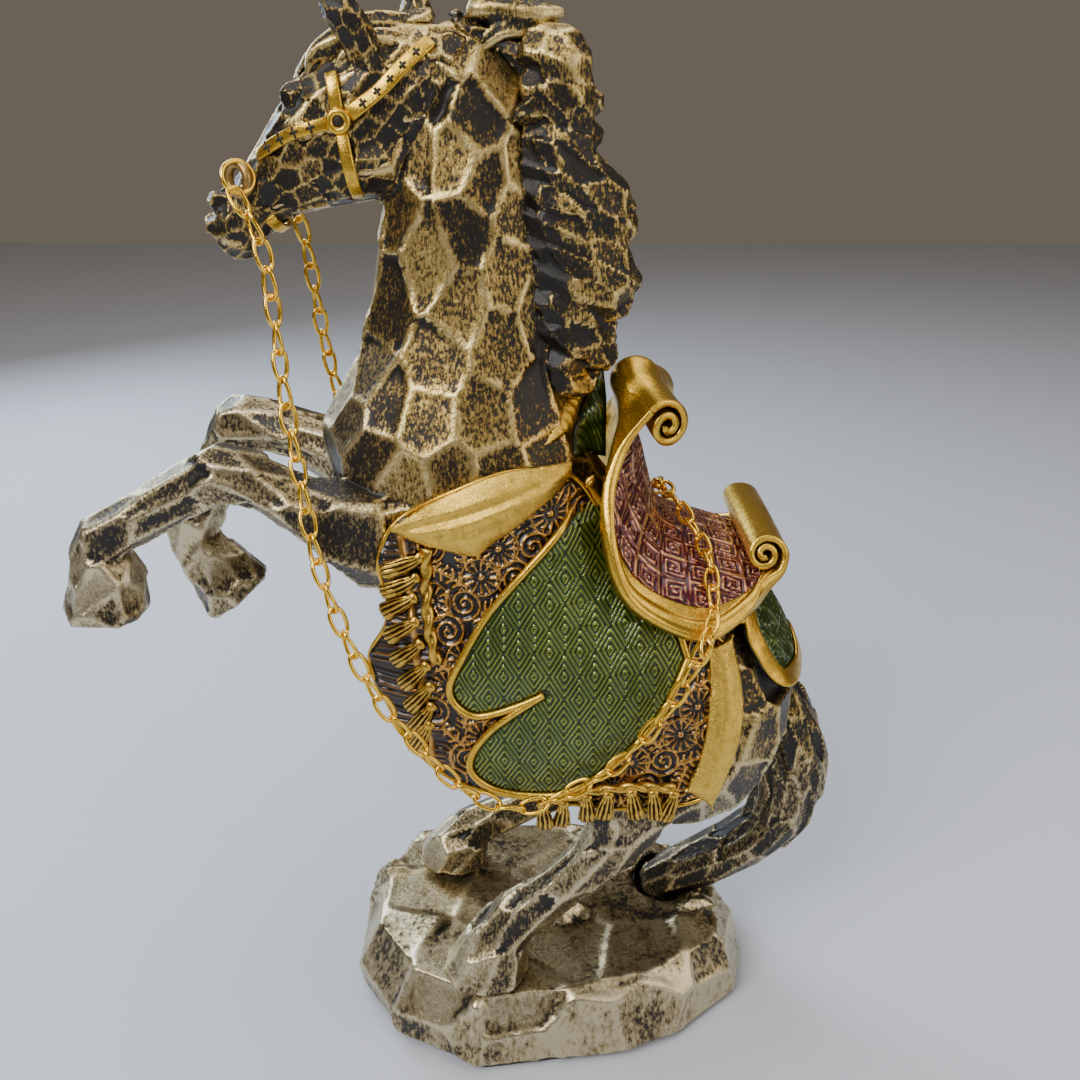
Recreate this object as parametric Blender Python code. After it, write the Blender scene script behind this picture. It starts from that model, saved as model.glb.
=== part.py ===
"""Rearing horse statuette on a rock base, in full tack, with chain reins.

The horse rears facing -X and its mid-plane is Y = 0, so its left side is -Y. Z is up, and the
origin lies on the underside of the felt pad, under the horse. Numbers in the tables are
millimetres; MM turns them into Blender's metres.

The castings are closed lofts of rings. A ring is written (ax, az, bx, bz, half_width, y): its two
edge points in the XZ plane, half its width across Y, and where its middle lies on Y.
"""

import math

import bmesh
import bpy
from mathutils import Matrix, Vector
from mathutils.bvhtree import BVHTree
from mathutils.geometry import delaunay_2d_cdt

MM = 0.001
GAP = 0.35 * MM  # glue line between castings that meet
PARTING = 0.3 * MM  # width of a parting cut
FELT_THICKNESS = 1.0
BASE_FLOOR = FELT_THICKNESS + 0.35
ROCK_TOP = 21.5
PIN_RADIUS = 1.0
DOWEL_RADIUS = 2.0
BORE_CLEARANCE = 0.3

LEFT, RIGHT = -1, 1

# ---------------------------------------------------------------- ring tables, in millimetres

NECK_AND_BARREL = (
    (-12, 239, -33, 225, 8.5, 0),
    (-4.5, 229, -34.5, 212, 10, 0),
    (-2, 218, -35.5, 204, 11.5, 0),
    (-0.5, 206, -37, 195, 12.5, 0),
    (1.5, 195, -38.5, 187, 13.5, 0),
    (2.5, 183, -41, 177, 15.5, 0),
    (4, 172, -46, 168, 18.5, 0),
    (6, 164, -50.5, 158, 21.5, 0),
    (8.5, 157, -49, 146, 23.5, 0),
    (12, 149, -42, 132, 25, 0),
    (18, 139, -37, 117, 26, 0),
    (27, 133, -32, 103, 26.5, 0),
    (38, 128, -23, 92, 27, 0),
    (48, 119, -9, 84, 27, 0),
    (55, 108, 6, 79, 26, 0),
    (59.5, 97, 19, 74, 23, 0),
    (61, 87, 32, 71, 18, 0),
    (59, 78, 43, 71, 10, 0),
)
LEFT_HIND = (
    (20, 104, 57, 88, 13, -13),
    (6, 93, 48, 70, 13, -16),
    (3, 84, 33, 65, 10.5, -19),
    (8, 72, 27.5, 70.5, 7.5, -22),
    (9.5, 63.5, 26, 62, 6, -23.5),
    (2.5, 54.5, 11.5, 47.5, 4.6, -24.5),
    (-6.5, 46, 1.5, 38.5, 4.4, -25),
    (-13.5, 41.5, -3.5, 34, 5.4, -25.5),
    (-17, 36.5, -6, 30.5, 5.2, -26),
    (-20, 34, -6, 30, 7.2, -26),
    (-26.5, 22, -5.5, 22, 9.6, -26),
)
RIGHT_HIND = (
    (20, 104, 57, 88, 13, 13),
    (4, 92, 46, 68, 13, 15),
    (-1, 80, 29, 60, 10.5, 16),
    (3, 66, 26, 58, 7.5, 17),
    (5, 56, 22, 49, 6, 17),
    (-4, 49, 4, 40.5, 4.6, 17),
    (-14, 43, -8, 34.5, 4.4, 17),
    (-23.5, 38, -15.5, 30, 5.4, 17),
    (-28, 33.5, -17.5, 28, 5.2, 17),
    (-31, 31.5, -18, 28, 7.2, 17),
    (-37, 22.5, -17.5, 22.5, 9.2, 17),
)
LEFT_FORE = (
    (-30, 152, -26, 128, 10, -13),
    (-41, 150, -37, 126, 9.5, -16),
    (-52, 151.5, -47, 132, 8, -17.5),
    (-62, 156, -58, 142, 6.6, -18),
    (-71.5, 159.5, -68, 147.5, 6.6, -18.5),
    (-80, 154.5, -75.5, 144.8, 5.2, -18.5),
    (-91, 148, -86, 138.8, 4.9, -18.5),
    (-101.5, 142.5, -94.5, 134, 5.6, -18.5),
    (-105, 136.5, -93, 132.5, 5.4, -18.5),
    (-105.5, 133, -91.5, 131, 6.6, -18.5),
    (-109, 120, -91, 119.5, 8.4, -18.5),
)
RIGHT_FORE = (
    (-30, 152, -26, 128, 10, 13),
    (-46, 153, -41, 130, 9.3, 15.5),
    (-59, 156.5, -55, 140, 7.4, 17),
    (-70, 159.5, -66, 146.5, 6.6, 17.5),
    (-79, 159, -72.5, 147, 6.6, 18),
    (-84.5, 149.5, -73.5, 143, 5.8, 18),
    (-88.5, 139.5, -79, 135, 4.9, 18),
    (-96, 128, -84.5, 126, 5.6, 18),
    (-95.5, 121.5, -83, 122, 5.4, 18),
    (-95, 118, -80, 120, 6.6, 18),
    (-88, 101, -73, 112.5, 8.2, 18),
)
SKULL = (
    (-14, 240, -28, 222, 8, 0),
    (-26, 241.5, -33, 212.5, 10, 0),
    (-38, 239.5, -38, 208.5, 11.3, 0),
    (-48.5, 233.5, -43.5, 207, 11, 0),
    (-56, 225, -49, 206, 9.2, 0),
    (-60.5, 218.5, -53.5, 205, 7.8, 0),
    (-65, 212.5, -57.5, 202.5, 7, 0),
    (-69.5, 206.5, -61.5, 198.5, 7, 0),
    (-70.5, 202, -65.5, 196.5, 5.6, 0),
)
JAW = (
    (-30, 224, -31, 209, 9.6, 0),
    (-37, 224, -39, 207.5, 11.8, 0),
    (-44, 219, -45, 206.5, 10.4, 0),
)
MANE = (
    (-17, 245, -20, 236, 6.5, 0),
    (-6, 242.5, -11, 232, 8, 0),
    (4, 235, -7, 226, 8.5, 0),
    (10.5, 227, -5, 218, 8.5, 0),
    (10, 218, -3.5, 211, 8.5, 0),
    (16, 209, -2, 202, 8.5, 0),
    (15, 200, -1, 194, 8.5, 0),
    (18.5, 191, 0, 187, 8.5, 0),
    (14, 182, 1, 179, 8, 0),
    (9.2, 174, 2, 172, 6.5, 0),
    (7.8, 166.5, 4.5, 166, 3.5, 0),
)
POLL_TUFT = (
    (-14, 247, -16, 241, 5, -2),
    (-8, 247, -9, 240, 5, -2.5),
    (-1, 245.5, -2, 239.5, 4, -3),
    (3, 244.5, 2.5, 242, 1.6, -3),
)
FORELOCK = (
    (-24, 245, -24, 239, 4, 0),
    (-33, 243.5, -32, 237, 4.6, 0),
    (-42.5, 240, -40.5, 234.5, 4.6, -0.5),
    (-49.5, 236.5, -46.5, 232, 3.6, -1),
    (-52.5, 230.5, -50, 228.5, 1.6, -1.5),
)
TAIL = (
    (61, 94, 51, 88, 6, 1),
    (68, 83, 54, 76, 8, 2),
    (72.5, 69, 56.5, 64, 9.4, 3),
    (72, 54, 55.5, 53, 10, 4),
    (66.5, 41, 52, 45, 10, 5),
    (57, 30.5, 44.5, 39, 9.2, 6),
    (46, 22.5, 36, 33, 8.2, 7),
    (33, 15, 27, 26, 6.4, 8),
)
ROCK_MOUNDS = (  # x, y, z of high spots on the rock
    (30, 12, 29),
    (41, -2, 25.5),
    (14, 24, 27),
    (38, 22, 23),
    (6, -4, 26),
    (-44, 14, 23.5),
)


# ---------------------------------------------------------------- Blender helpers


def clear_scene():
    for obj in list(bpy.data.objects):
        bpy.data.objects.remove(obj, do_unlink=True)


def make_material(name, colour, roughness, metallic):
    material = bpy.data.materials.new(name)
    material.use_nodes = True
    shader = material.node_tree.nodes["Principled BSDF"]
    shader.inputs["Base Color"].default_value = (*colour, 1.0)
    shader.inputs["Roughness"].default_value = roughness
    shader.inputs["Metallic"].default_value = metallic
    return material


def add_object(name, bm, material=None):
    mesh = bpy.data.meshes.new(name)
    bm.to_mesh(mesh)
    bm.free()
    obj = bpy.data.objects.new(name, mesh)
    bpy.context.scene.collection.objects.link(obj)
    if material:
        mesh.materials.append(material)
    return obj


def hide(obj):
    """Marks a cutter or a form that other pieces are made from, and that isn't a piece itself."""
    obj.hide_render = True
    obj.display_type = "WIRE"
    return obj


def settle(obj):
    """Applies the object's modifiers to its mesh."""
    graph = bpy.context.evaluated_depsgraph_get()
    evaluated = obj.evaluated_get(graph)
    mesh = bpy.data.meshes.new_from_object(evaluated)
    obj.modifiers.clear()
    obj.data = mesh
    return obj


def carve(obj, cutters, operation="DIFFERENCE"):
    for cutter in cutters:
        modifier = obj.modifiers.new(cutter.name, "BOOLEAN")
        modifier.operation = operation
        modifier.solver = "EXACT"
        modifier.use_self = True
        modifier.object = cutter
        settle(obj)
        bm = bmesh.new()
        bm.from_mesh(obj.data)
        bmesh.ops.remove_doubles(bm, verts=bm.verts, dist=0.000005)
        bmesh.ops.triangulate(bm, faces=bm.faces)
        bm.to_mesh(obj.data)
        bm.free()
    return obj


def grown(obj, distance):
    """A hidden copy whose surface stands out by that distance."""
    bm = bmesh.new()
    bm.from_mesh(obj.data)
    bm.normal_update()
    for vertex in bm.verts:
        vertex.co += vertex.normal * distance
    return hide(add_object(obj.name + "_grown", bm))


def melt(name, solids, voxel, smoothing, faces, material=None):
    """One closed body from solids that overlap: voxels, smoothing, then about that many triangles."""
    bm = bmesh.new()
    for solid in solids:
        bm.from_mesh(solid.data)
        bpy.data.objects.remove(solid, do_unlink=True)
    obj = add_object(name, bm, material)
    remesh = obj.modifiers.new("voxels", "REMESH")
    remesh.mode = "VOXEL"
    remesh.voxel_size = voxel * MM
    settle(obj)
    smooth = obj.modifiers.new("soften", "SMOOTH")
    smooth.factor = 0.5
    smooth.iterations = smoothing
    settle(obj)
    decimate = obj.modifiers.new("thin_out", "DECIMATE")
    decimate.ratio = min(1.0, faces / (2 * len(obj.data.polygons)))
    return settle(obj)


# ---------------------------------------------------------------- shapes


def catmull(a, b, c, d, t):
    return tuple(
        0.5 * (2 * q + (r - p) * t + (2 * p - 5 * q + 4 * r - s) * t**2 + (3 * q - p - 3 * r + s) * t**3)
        for p, q, r, s in zip(a, b, c, d)
    )


def smooth_through(rows, steps):
    """The rows with steps - 1 more between each two, on a smooth curve through them all."""
    ends = (rows[0], *rows, rows[-1])
    out = [
        catmull(*ends[i : i + 4], k / steps) for i in range(len(rows) - 1) for k in range(steps)
    ]
    return [*out, rows[-1]]


def ring_points(row, sides, squareness=2.0):
    """The points round one ring, in metres. Squareness 2 is an ellipse, and more is boxier."""
    ax, az, bx, bz, half_width, y = row
    power = 2.0 / squareness
    points = []
    for k in range(sides):
        angle = 2 * math.pi * k / sides
        c, s = math.cos(angle), math.sin(angle)
        along = math.copysign(abs(c) ** power, c)
        across = math.copysign(abs(s) ** power, s)
        points.append(
            Vector(
                (
                    (ax + bx) / 2 + along * (ax - bx) / 2,
                    y + across * half_width,
                    (az + bz) / 2 + along * (az - bz) / 2,
                )
            )
            * MM
        )
    return points


def bridge(bm, rings):
    """Skins rings of the same number of points into a closed tube with fan ends."""
    made = [[bm.verts.new(p) for p in ring] for ring in rings]
    for low, high in zip(made, made[1:]):
        for k in range(len(low)):
            nxt = (k + 1) % len(low)
            bm.faces.new((low[k], low[nxt], high[nxt], high[k]))
    for ring, order in ((made[0], -1), (made[-1], 1)):
        centre = bm.verts.new(sum((v.co for v in ring), Vector()) / len(ring))
        for k in range(len(ring)):
            pair = (ring[k], ring[(k + 1) % len(ring)])[::order]
            bm.faces.new((*pair, centre))
    bmesh.ops.recalc_face_normals(bm, faces=bm.faces)


def rounded_ends(rows, roundness):
    """Rows with a smaller ring beyond each end, so that the loft closes in a dome."""

    def beyond(end, before):
        middle = [(end[0] + end[2]) / 2, (end[1] + end[3]) / 2]
        inner = [(before[0] + before[2]) / 2, (before[1] + before[3]) / 2]
        way = Vector((middle[0] - inner[0], middle[1] - inner[1])).normalized()
        radius = math.dist(end[:2], end[2:4]) / 2
        shift = way * radius * 0.5 * roundness
        shrink = 0.62
        ax, bx = (middle[0] + (v - middle[0]) * shrink + shift.x for v in (end[0], end[2]))
        az, bz = (middle[1] + (v - middle[1]) * shrink + shift.y for v in (end[1], end[3]))
        return (ax, az, bx, bz, end[4] * shrink, end[5])

    return (beyond(rows[0], rows[1]), *rows, beyond(rows[-1], rows[-2]))


def loft(name, rows, sides=20, steps=2, squareness=2.0, roundness=1.0, flat_end=False, material=None):
    """A closed loft through rings. flat_end keeps the last ring flat, as under a hoof."""
    rows = [tuple(map(float, row)) for row in rows]
    shaped = rounded_ends(rows, roundness)
    if flat_end:
        shaped = shaped[:-1]
    bm = bmesh.new()
    bridge(bm, [ring_points(row, sides, squareness) for row in smooth_through(shaped, steps)])
    return add_object(name, bm, material)


def widened(rows, back, belly, side):
    """Rings that stand out from these by back and belly along the ring and by side across it."""
    out = []
    for ax, az, bx, bz, half_width, y in rows:
        way = Vector((ax - bx, az - bz)).normalized()
        out.append(
            (
                ax + way.x * back,
                az + way.y * back,
                bx - way.x * belly,
                bz - way.y * belly,
                half_width + side,
                y,
            )
        )
    return out


def rod(name, start, end, radius, sides=16, material=None):
    """A round bar between two points, all in millimetres."""
    start, end = Vector(start), Vector(end)
    way = end - start
    bm = bmesh.new()
    bmesh.ops.create_cone(
        bm,
        cap_ends=True,
        segments=sides,
        radius1=radius * MM,
        radius2=radius * MM,
        depth=way.length * MM,
    )
    turn = way.to_track_quat("Z", "Y").to_matrix().to_4x4()
    bm.transform(Matrix.Translation((start + end) / 2 * MM) @ turn)
    return add_object(name, bm, material)


def plate(name, centre, normal, half_size, thickness=PARTING / MM):
    """A square plate across a limb: the parting cut there."""
    bm = bmesh.new()
    bmesh.ops.create_cube(bm, size=1.0)
    bm.transform(Matrix.Diagonal((2 * half_size * MM, 2 * half_size * MM, thickness * MM, 1)))
    turn = Vector(normal).to_track_quat("Z", "Y").to_matrix().to_4x4()
    bm.transform(Matrix.Translation(Vector(centre) * MM) @ turn)
    return hide(add_object(name, bm))


def prism(name, outline, y_from, y_to):
    """An outline in the XZ plane, extruded along Y."""
    bm = bmesh.new()
    face = bm.faces.new([bm.verts.new((x * MM, y_from * MM, z * MM)) for x, z in outline])
    pushed = bmesh.ops.extrude_face_region(bm, geom=[face])
    moved = [g for g in pushed["geom"] if isinstance(g, bmesh.types.BMVert)]
    bmesh.ops.translate(bm, vec=(0, (y_to - y_from) * MM, 0), verts=moved)
    bmesh.ops.recalc_face_normals(bm, faces=bm.faces)
    return hide(add_object(name, bm))


def loose_parts(obj, anchors, material):
    """Splits a mesh into its loose bodies, each named after the anchor point that it is nearest to."""
    bm = bmesh.new()
    bm.from_mesh(obj.data)
    bm.verts.ensure_lookup_table()
    left, islands = set(bm.verts), []
    while left:
        stack, island = [left.pop()], set()
        while stack:
            vertex = stack.pop()
            island.add(vertex)
            for edge in vertex.link_edges:
                other = edge.other_vert(vertex)
                if other in left:
                    left.remove(other)
                    stack.append(other)
        islands.append(island)
    islands.sort(key=len, reverse=True)
    made = {}
    for name, anchor in anchors.items():
        anchor = Vector(anchor) * MM
        island = min(
            islands[: len(anchors)], key=lambda i: min((v.co - anchor).length for v in i)
        )
        part = bmesh.new()
        copies = {v: part.verts.new(v.co) for v in island}
        for face in bm.faces:
            if face.verts[0] in island:
                part.faces.new([copies[v] for v in face.verts])
        bmesh.ops.recalc_face_normals(part, faces=part.faces)
        made[name] = add_object(name, part, material)
    bm.free()
    bpy.data.objects.remove(obj, do_unlink=True)
    return made


def ribbon(points, width):
    """The outline of a strap of that width along a line of XZ points."""
    points = [Vector(p) for p in points]
    near, far = [], []
    for i, point in enumerate(points):
        way = (points[min(i + 1, len(points) - 1)] - points[max(i - 1, 0)]).normalized()
        side = Vector((-way.y, way.x)) * width / 2
        near.append(tuple(point + side))
        far.append(tuple(point - side))
    return near + far[::-1]


def bent_rod(name, points, radius, sides=10, material=None):
    """A round bar along a smooth curve through points, all in millimetres."""
    curve = [Vector(p) for p in smooth_through([tuple(map(float, p)) for p in points], 3)]
    rings = []
    for i, point in enumerate(curve):
        way = (curve[min(i + 1, len(curve) - 1)] - curve[max(i - 1, 0)]).normalized()
        turn = way.to_track_quat("Z", "Y")
        rings.append(
            [
                (
                    point
                    + turn
                    @ Vector(
                        (
                            radius * math.cos(2 * math.pi * k / sides),
                            radius * math.sin(2 * math.pi * k / sides),
                            0,
                        )
                    )
                )
                * MM
                for k in range(sides)
            ]
        )
    bm = bmesh.new()
    bridge(bm, rings)
    return add_object(name, bm, material)


def torus(name, centre, normal, radius, wire, material):
    bm = bmesh.new()
    turns, sides = 16, 6
    turn = Vector(normal).to_track_quat("Z", "Y")
    grid = []
    for i in range(turns):
        a = 2 * math.pi * i / turns
        ring = []
        for k in range(sides):
            b = 2 * math.pi * k / sides
            reach = radius + wire * math.cos(b)
            local = Vector((reach * math.cos(a), reach * math.sin(a), wire * math.sin(b)))
            ring.append(bm.verts.new((Vector(centre) + turn @ local) * MM))
        grid.append(ring)
    for i in range(turns):
        for k in range(sides):
            nxt, up = (i + 1) % turns, (k + 1) % sides
            bm.faces.new((grid[i][k], grid[nxt][k], grid[nxt][up], grid[i][up]))
    bmesh.ops.recalc_face_normals(bm, faces=bm.faces)
    return add_object(name, bm, material)


def hull(name, points):
    """The convex solid round points, all in millimetres."""
    bm = bmesh.new()
    for point in points:
        bm.verts.new(Vector(point) * MM)
    made = bmesh.ops.convex_hull(bm, input=bm.verts)
    spare = [g for g in made["geom_interior"] if isinstance(g, bmesh.types.BMVert)]
    bmesh.ops.delete(bm, geom=spare, context="VERTS")
    bmesh.ops.recalc_face_normals(bm, faces=bm.faces)
    return add_object(name, bm)


def cord(name, points, diameter, bevel, material):
    """A plain tube on a smooth curve through route points. Its origin is at the first of them."""
    smooth = smooth_through([tuple(map(float, p)) for p in points], 2)
    start = Vector(points[0])
    data = bpy.data.curves.new(name, "CURVE")
    data.dimensions = "3D"
    data.bevel_depth = diameter / 2 * MM
    data.bevel_resolution = bevel
    data.render_resolution_u = 0
    data.use_fill_caps = True
    spline = data.splines.new("POLY")
    spline.points.add(len(smooth) - 1)
    for spot, point in zip(spline.points, smooth):
        spot.co = (*((Vector(point) - start) * MM), 1.0)
    obj = bpy.data.objects.new(name, data)
    obj.location = start * MM
    bpy.context.scene.collection.objects.link(obj)
    data.materials.append(material)
    return obj


# ---------------------------------------------------------------- the horse's castings

PARTINGS = (  # centre, normal and half size of each cut between two castings
    ("neck_cut", (-20, 0, 172), (0.09, 0, 1), 34),
    ("head_cut", (-25, 0, 223), (-0.87, 0, 0.5), 25),
    ("left_elbow_cut", (-52, -17.5, 142), (-1, 0, 0.1), 13),
    ("right_elbow_cut", (-52, 17.5, 144), (-1, 0, 0.1), 13),
    ("left_gaskin_cut", (19, -22, 67.5), (0, 0, 1), 16),
    ("right_gaskin_cut", (14, 19, 60), (0, 0, 1), 16.5),
)
CASTINGS = {  # each casting and a point well inside it
    "torso": (0, 0, 115),
    "neck": (-20, 0, 195),
    "head": (-50, 0, 217),
    "left_foreleg": (-80, -18.5, 150),
    "right_foreleg": (-85, 18, 135),
    "left_hind_leg": (7, -24, 51),
    "right_hind_leg": (0, 17, 45),
}


def horse_forms(extra=0.0):
    """The overlapping lofts that the horse's castings are cut from."""
    body = widened(NECK_AND_BARREL, extra, extra, extra)
    forms = [loft("barrel_form", body, sides=28, steps=3)]
    for name, rows in (
        ("left_hind_form", LEFT_HIND),
        ("right_hind_form", RIGHT_HIND),
        ("left_fore_form", LEFT_FORE),
        ("right_fore_form", RIGHT_FORE),
    ):
        rows = widened(rows, extra, extra, extra)
        forms.append(loft(name, rows, squareness=2.3, flat_end=True))
    forms.append(loft("skull_form", SKULL, squareness=2.5))
    forms.append(loft("jaw_form", JAW))
    for side in (LEFT, RIGHT):
        brow = [(-47.5, 229, -46, 219, 4, side * 7.6), (-55, 224, -52, 216.5, 3, side * 6.4)]
        forms.append(loft("brow_form", brow, sides=12))
    return forms


def build_horse(material):
    """The horse, cut apart into its castings, and a hidden copy of it whole."""
    horse = melt("horse", horse_forms(), 1.0, 3, 3000)
    whole = hide(grown(horse, 0))
    cuts = [plate(*cut) for cut in PARTINGS]
    carve(horse, cuts)
    return loose_parts(horse, CASTINGS, material), whole


DRAPE = (  # how far the cloths hang free of the flank, for the right side
    (-40, 128, -42, 94, 6, 16),
    (-29, 132, -33, 80, 8, 18.5),
    (-14, 128, -17, 70, 9, 20.5),
    (4, 122, 2, 68, 9, 21.5),
    (18, 116, 17, 66, 9, 21.5),
    (31, 112, 31, 66, 8, 20.5),
    (43, 106, 43, 74, 6, 18.5),
)


def build_drape_form():
    """The shape that the cloths lie on: the horse, a little fuller, with the cloths' free hang."""
    forms = horse_forms(0.9)
    for side in (LEFT, RIGHT):
        rows = [(*row[:5], side * row[5]) for row in DRAPE]
        forms.append(loft("drape", rows, squareness=2.6))
    form = melt("drape_form", forms, 1.2, 4, 2300)
    below = prism("below", ((-130, 66), (100, 66), (100, 0), (-130, 0)), -60, 60)
    above = prism("above", ((-130, 260), (100, 260), (100, 185), (-130, 185)), -60, 60)
    ahead = prism("ahead", ((-130, 186), (-52, 186), (-52, 60), (-130, 60)), -60, 60)
    return hide(carve(form, [below, above, ahead]))


class SideView:
    """Maps outline points (x, z) onto a form along Y, from its left or its right."""

    def __init__(self, side):
        self.side = side

    def ray(self, u, v):
        return Vector((u, self.side * 70, v)) * MM, Vector((0, -self.side, 0))


class AroundAxis:
    """Maps outline points (distance along an axis, arc length from the top) onto a form."""

    def __init__(self, start, along, up, radius, reach):
        self.start, self.along, self.up = Vector(start), Vector(along), Vector(up)
        self.radius, self.reach = radius, reach

    def ray(self, u, v):
        angle = v / self.radius
        out = self.up * math.cos(angle) + Vector((0, -1, 0)) * math.sin(angle)
        return (self.start + self.along * u + out * self.reach) * MM, -out


def inside(point, outline):
    x, y = point
    crossings = 0
    for (x0, y0), (x1, y1) in zip(outline, outline[1:] + outline[:1]):
        if (y0 > y) != (y1 > y) and x < x0 + (y - y0) * (x1 - x0) / (y1 - y0):
            crossings += 1
    return crossings % 2 == 1


def flat_mesh(outline, spacing):
    """Triangles that fill an outline, with points about that far apart."""
    rim = []
    for start, end in zip(outline, outline[1:] + outline[:1]):
        steps = max(1, round(math.dist(start, end) / spacing))
        rim += [
            (start[0] + (end[0] - start[0]) * k / steps, start[1] + (end[1] - start[1]) * k / steps)
            for k in range(steps)
        ]
    points = list(rim)
    low = [min(p[i] for p in rim) for i in (0, 1)]
    high = [max(p[i] for p in rim) for i in (0, 1)]
    row, v = 0, low[1]
    while v < high[1]:
        u = low[0] + (row % 2) * spacing / 2
        while u < high[0]:
            if inside((u, v), rim) and min(math.dist((u, v), p) for p in rim) > spacing * 0.6:
                points.append((u, v))
            u += spacing
        v += spacing * 0.87
        row += 1
    verts, _, faces, *_ = delaunay_2d_cdt(
        [Vector(p) for p in points], [], [list(range(len(rim)))], 1, 1e-5
    )
    return [tuple(v) for v in verts], faces


def thicken(bm, inner, outer, outward):
    """Turns an open sheet into a closed one, its faces at those distances along its normals."""
    bm.normal_update()
    if sum(face.normal.dot(outward) * face.calc_area() for face in bm.faces) < 0:
        bmesh.ops.reverse_faces(bm, faces=bm.faces)
        bm.normal_update()
    sheet, low = list(bm.faces), list(bm.verts)
    rim = [edge for edge in bm.edges if edge.is_boundary]
    normals = {v: v.normal.copy() for v in low}
    high = {v: bm.verts.new(v.co + normals[v] * outer * MM) for v in low}
    for face in sheet:
        bm.faces.new([high[v] for v in face.verts])
    for edge in rim:
        start, end = edge.verts
        bm.faces.new((start, end, high[end], high[start]))
    for vertex in low:
        vertex.co += normals[vertex] * inner * MM
    bmesh.ops.triangulate(bm, faces=bm.faces)
    bmesh.ops.recalc_face_normals(bm, faces=bm.faces)


def draped(name, form, outline, view, inner, outer, spacing, material):
    """A sheet laid on a form, with its two faces at those distances off it."""
    tree = BVHTree.FromObject(form, bpy.context.evaluated_depsgraph_get())
    flat, faces = flat_mesh(list(outline), spacing)
    bm = bmesh.new()
    low = []
    for u, v in flat:
        start, way = view.ray(u, v)
        hit = tree.ray_cast(start, way)[0]
        low.append(bm.verts.new(hit))
    for face in faces:
        bm.faces.new([low[i] for i in face])
    outward = -sum((view.ray(*point)[1] for point in flat), Vector())
    thicken(bm, inner, outer, outward)
    return add_object(name, bm, material)


def largest_body(piece):
    """Drops crumbs that a trim leaves beside the piece."""
    bm = bmesh.new()
    bm.from_mesh(piece.data)
    left, islands = set(bm.verts), []
    while left:
        stack, island = [left.pop()], []
        while stack:
            vertex = stack.pop()
            island.append(vertex)
            for edge in vertex.link_edges:
                other = edge.other_vert(vertex)
                if other in left:
                    left.remove(other)
                    stack.append(other)
        islands.append(island)
    islands.sort(key=len, reverse=True)
    for island in islands[1:]:
        bmesh.ops.delete(bm, geom=island, context="VERTS")
    bm.to_mesh(piece.data)
    bm.free()
    return piece


# ---------------------------------------------------------------- tack outlines, XZ in millimetres

CLOTH = (
    (5, 152),
    (-10, 155),
    (-30, 146.5),
    (-36.5, 137),
    (-35.5, 122),
    (-40.5, 111),
    (-36.5, 100),
    (-29, 87),
    (-18, 80),
    (0, 77),
    (16, 75.5),
    (34, 77),
    (40, 84),
    (43.5, 98),
    (42, 110),
    (34, 119),
    (24, 127),
    (14, 138),
)
FLAP = (
    (8.5, 149),
    (9.9, 141.3),
    (-10.6, 128.5),
    (-21.9, 108.9),
    (-15.4, 101.2),
    (-2, 106.3),
    (-17.9, 90.6),
    (-11.2, 81),
    (2.6, 79.6),
    (16.2, 90.6),
    (30.8, 112),
    (26, 127),
    (16, 140),
)
FRONT_HEM = (
    (-33.5, 143),
    (-25.1, 149.5),
    (-10.3, 155.5),
    (6, 155.8),
    (4.3, 152.1),
    (-6, 144.5),
    (-14.9, 137.8),
    (-25, 140),
)
REAR_HEM = ((36, 113), (41.5, 115.5), (44.2, 102.5), (37.9, 75.9), (31.8, 81), (34.8, 102.5))
TASSELS = (
    (-4, 78.3),
    (3, 78.3),
    (8, 82.6),
    (18, 84),
    (30.6, 83),
    (30.6, 70),
    (27, 76),
    (22, 67.3),
    (18, 76),
    (12.4, 68.8),
    (8, 76),
    (2.8, 73),
    (-1, 76.5),
)
BARREL_AXIS = ((-15, 0, 145), (0.725, 0, -0.689), (0.689, 0, 0.725), 28.0, 75)
SADDLE = (  # rows from the pommel back to the cantle, each from the middle line out to the right
    ((15.2, 0, 168.2), (17, 6.5, 167.9), (19.8, 11.5, 167.2), (21.8, 17, 166.2)),
    ((17.4, 0, 162), (16.6, 8, 161.6), (15.4, 14.5, 160.2), (15.2, 20.3, 157.8)),
    ((20.4, 0, 155), (17.8, 10, 154.2), (13.6, 20, 151), (12, 27.5, 145)),
    ((22.4, 0, 147.5), (20.2, 12, 144.8), (16.5, 24.5, 138.5), (15.5, 32.5, 131)),
    ((25.4, 0, 138.6), (24.7, 13, 136.2), (23.8, 26.5, 131), (24, 33.3, 123.5)),
    ((34.7, 0, 134), (34.3, 13, 132.5), (34, 26, 128.4), (34.3, 33.3, 120.5)),
    ((42.5, 0, 131.4), (42.8, 11, 130.4), (43.2, 21.5, 127.4), (43.5, 27.5, 123.8)),
    ((47.6, 0, 129.5), (47.7, 9, 129.3), (47.9, 16.5, 128.7), (48.2, 21.6, 127.6)),
    ((50.6, 0, 130.7), (50.7, 8, 130.6), (50.8, 14.5, 130.4), (51, 19.4, 130)),
    ((51.6, 0, 132.6), (51.7, 8, 132.6), (51.8, 13.5, 132.6), (51.9, 18.4, 132.6)),
)
SADDLE_CLEAR, SADDLE_THICKNESS = 4.6, 1.5
SKIRT = ((59, -17), (65, -23), (80, -25), (86, -12), (83, 0), (86, 12), (80, 25), (65, 23), (59, 17))
STRAPS = {
    "crown_strap": (((-38.8, 225.2), (-31, 227.2), (-22.5, 234)), 2.6),
    "cheek_strap": (((-44.4, 222.9), (-51.5, 221), (-57.6, 217.8)), 2.3),
    "throat_strap": (((-40.9, 220.4), (-39.8, 215), (-39.3, 210.2)), 2.4),
    "brow_strap": (((-41.8, 226.4), (-42.2, 229), (-42.9, 232.2)), 2.3),
}
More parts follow.
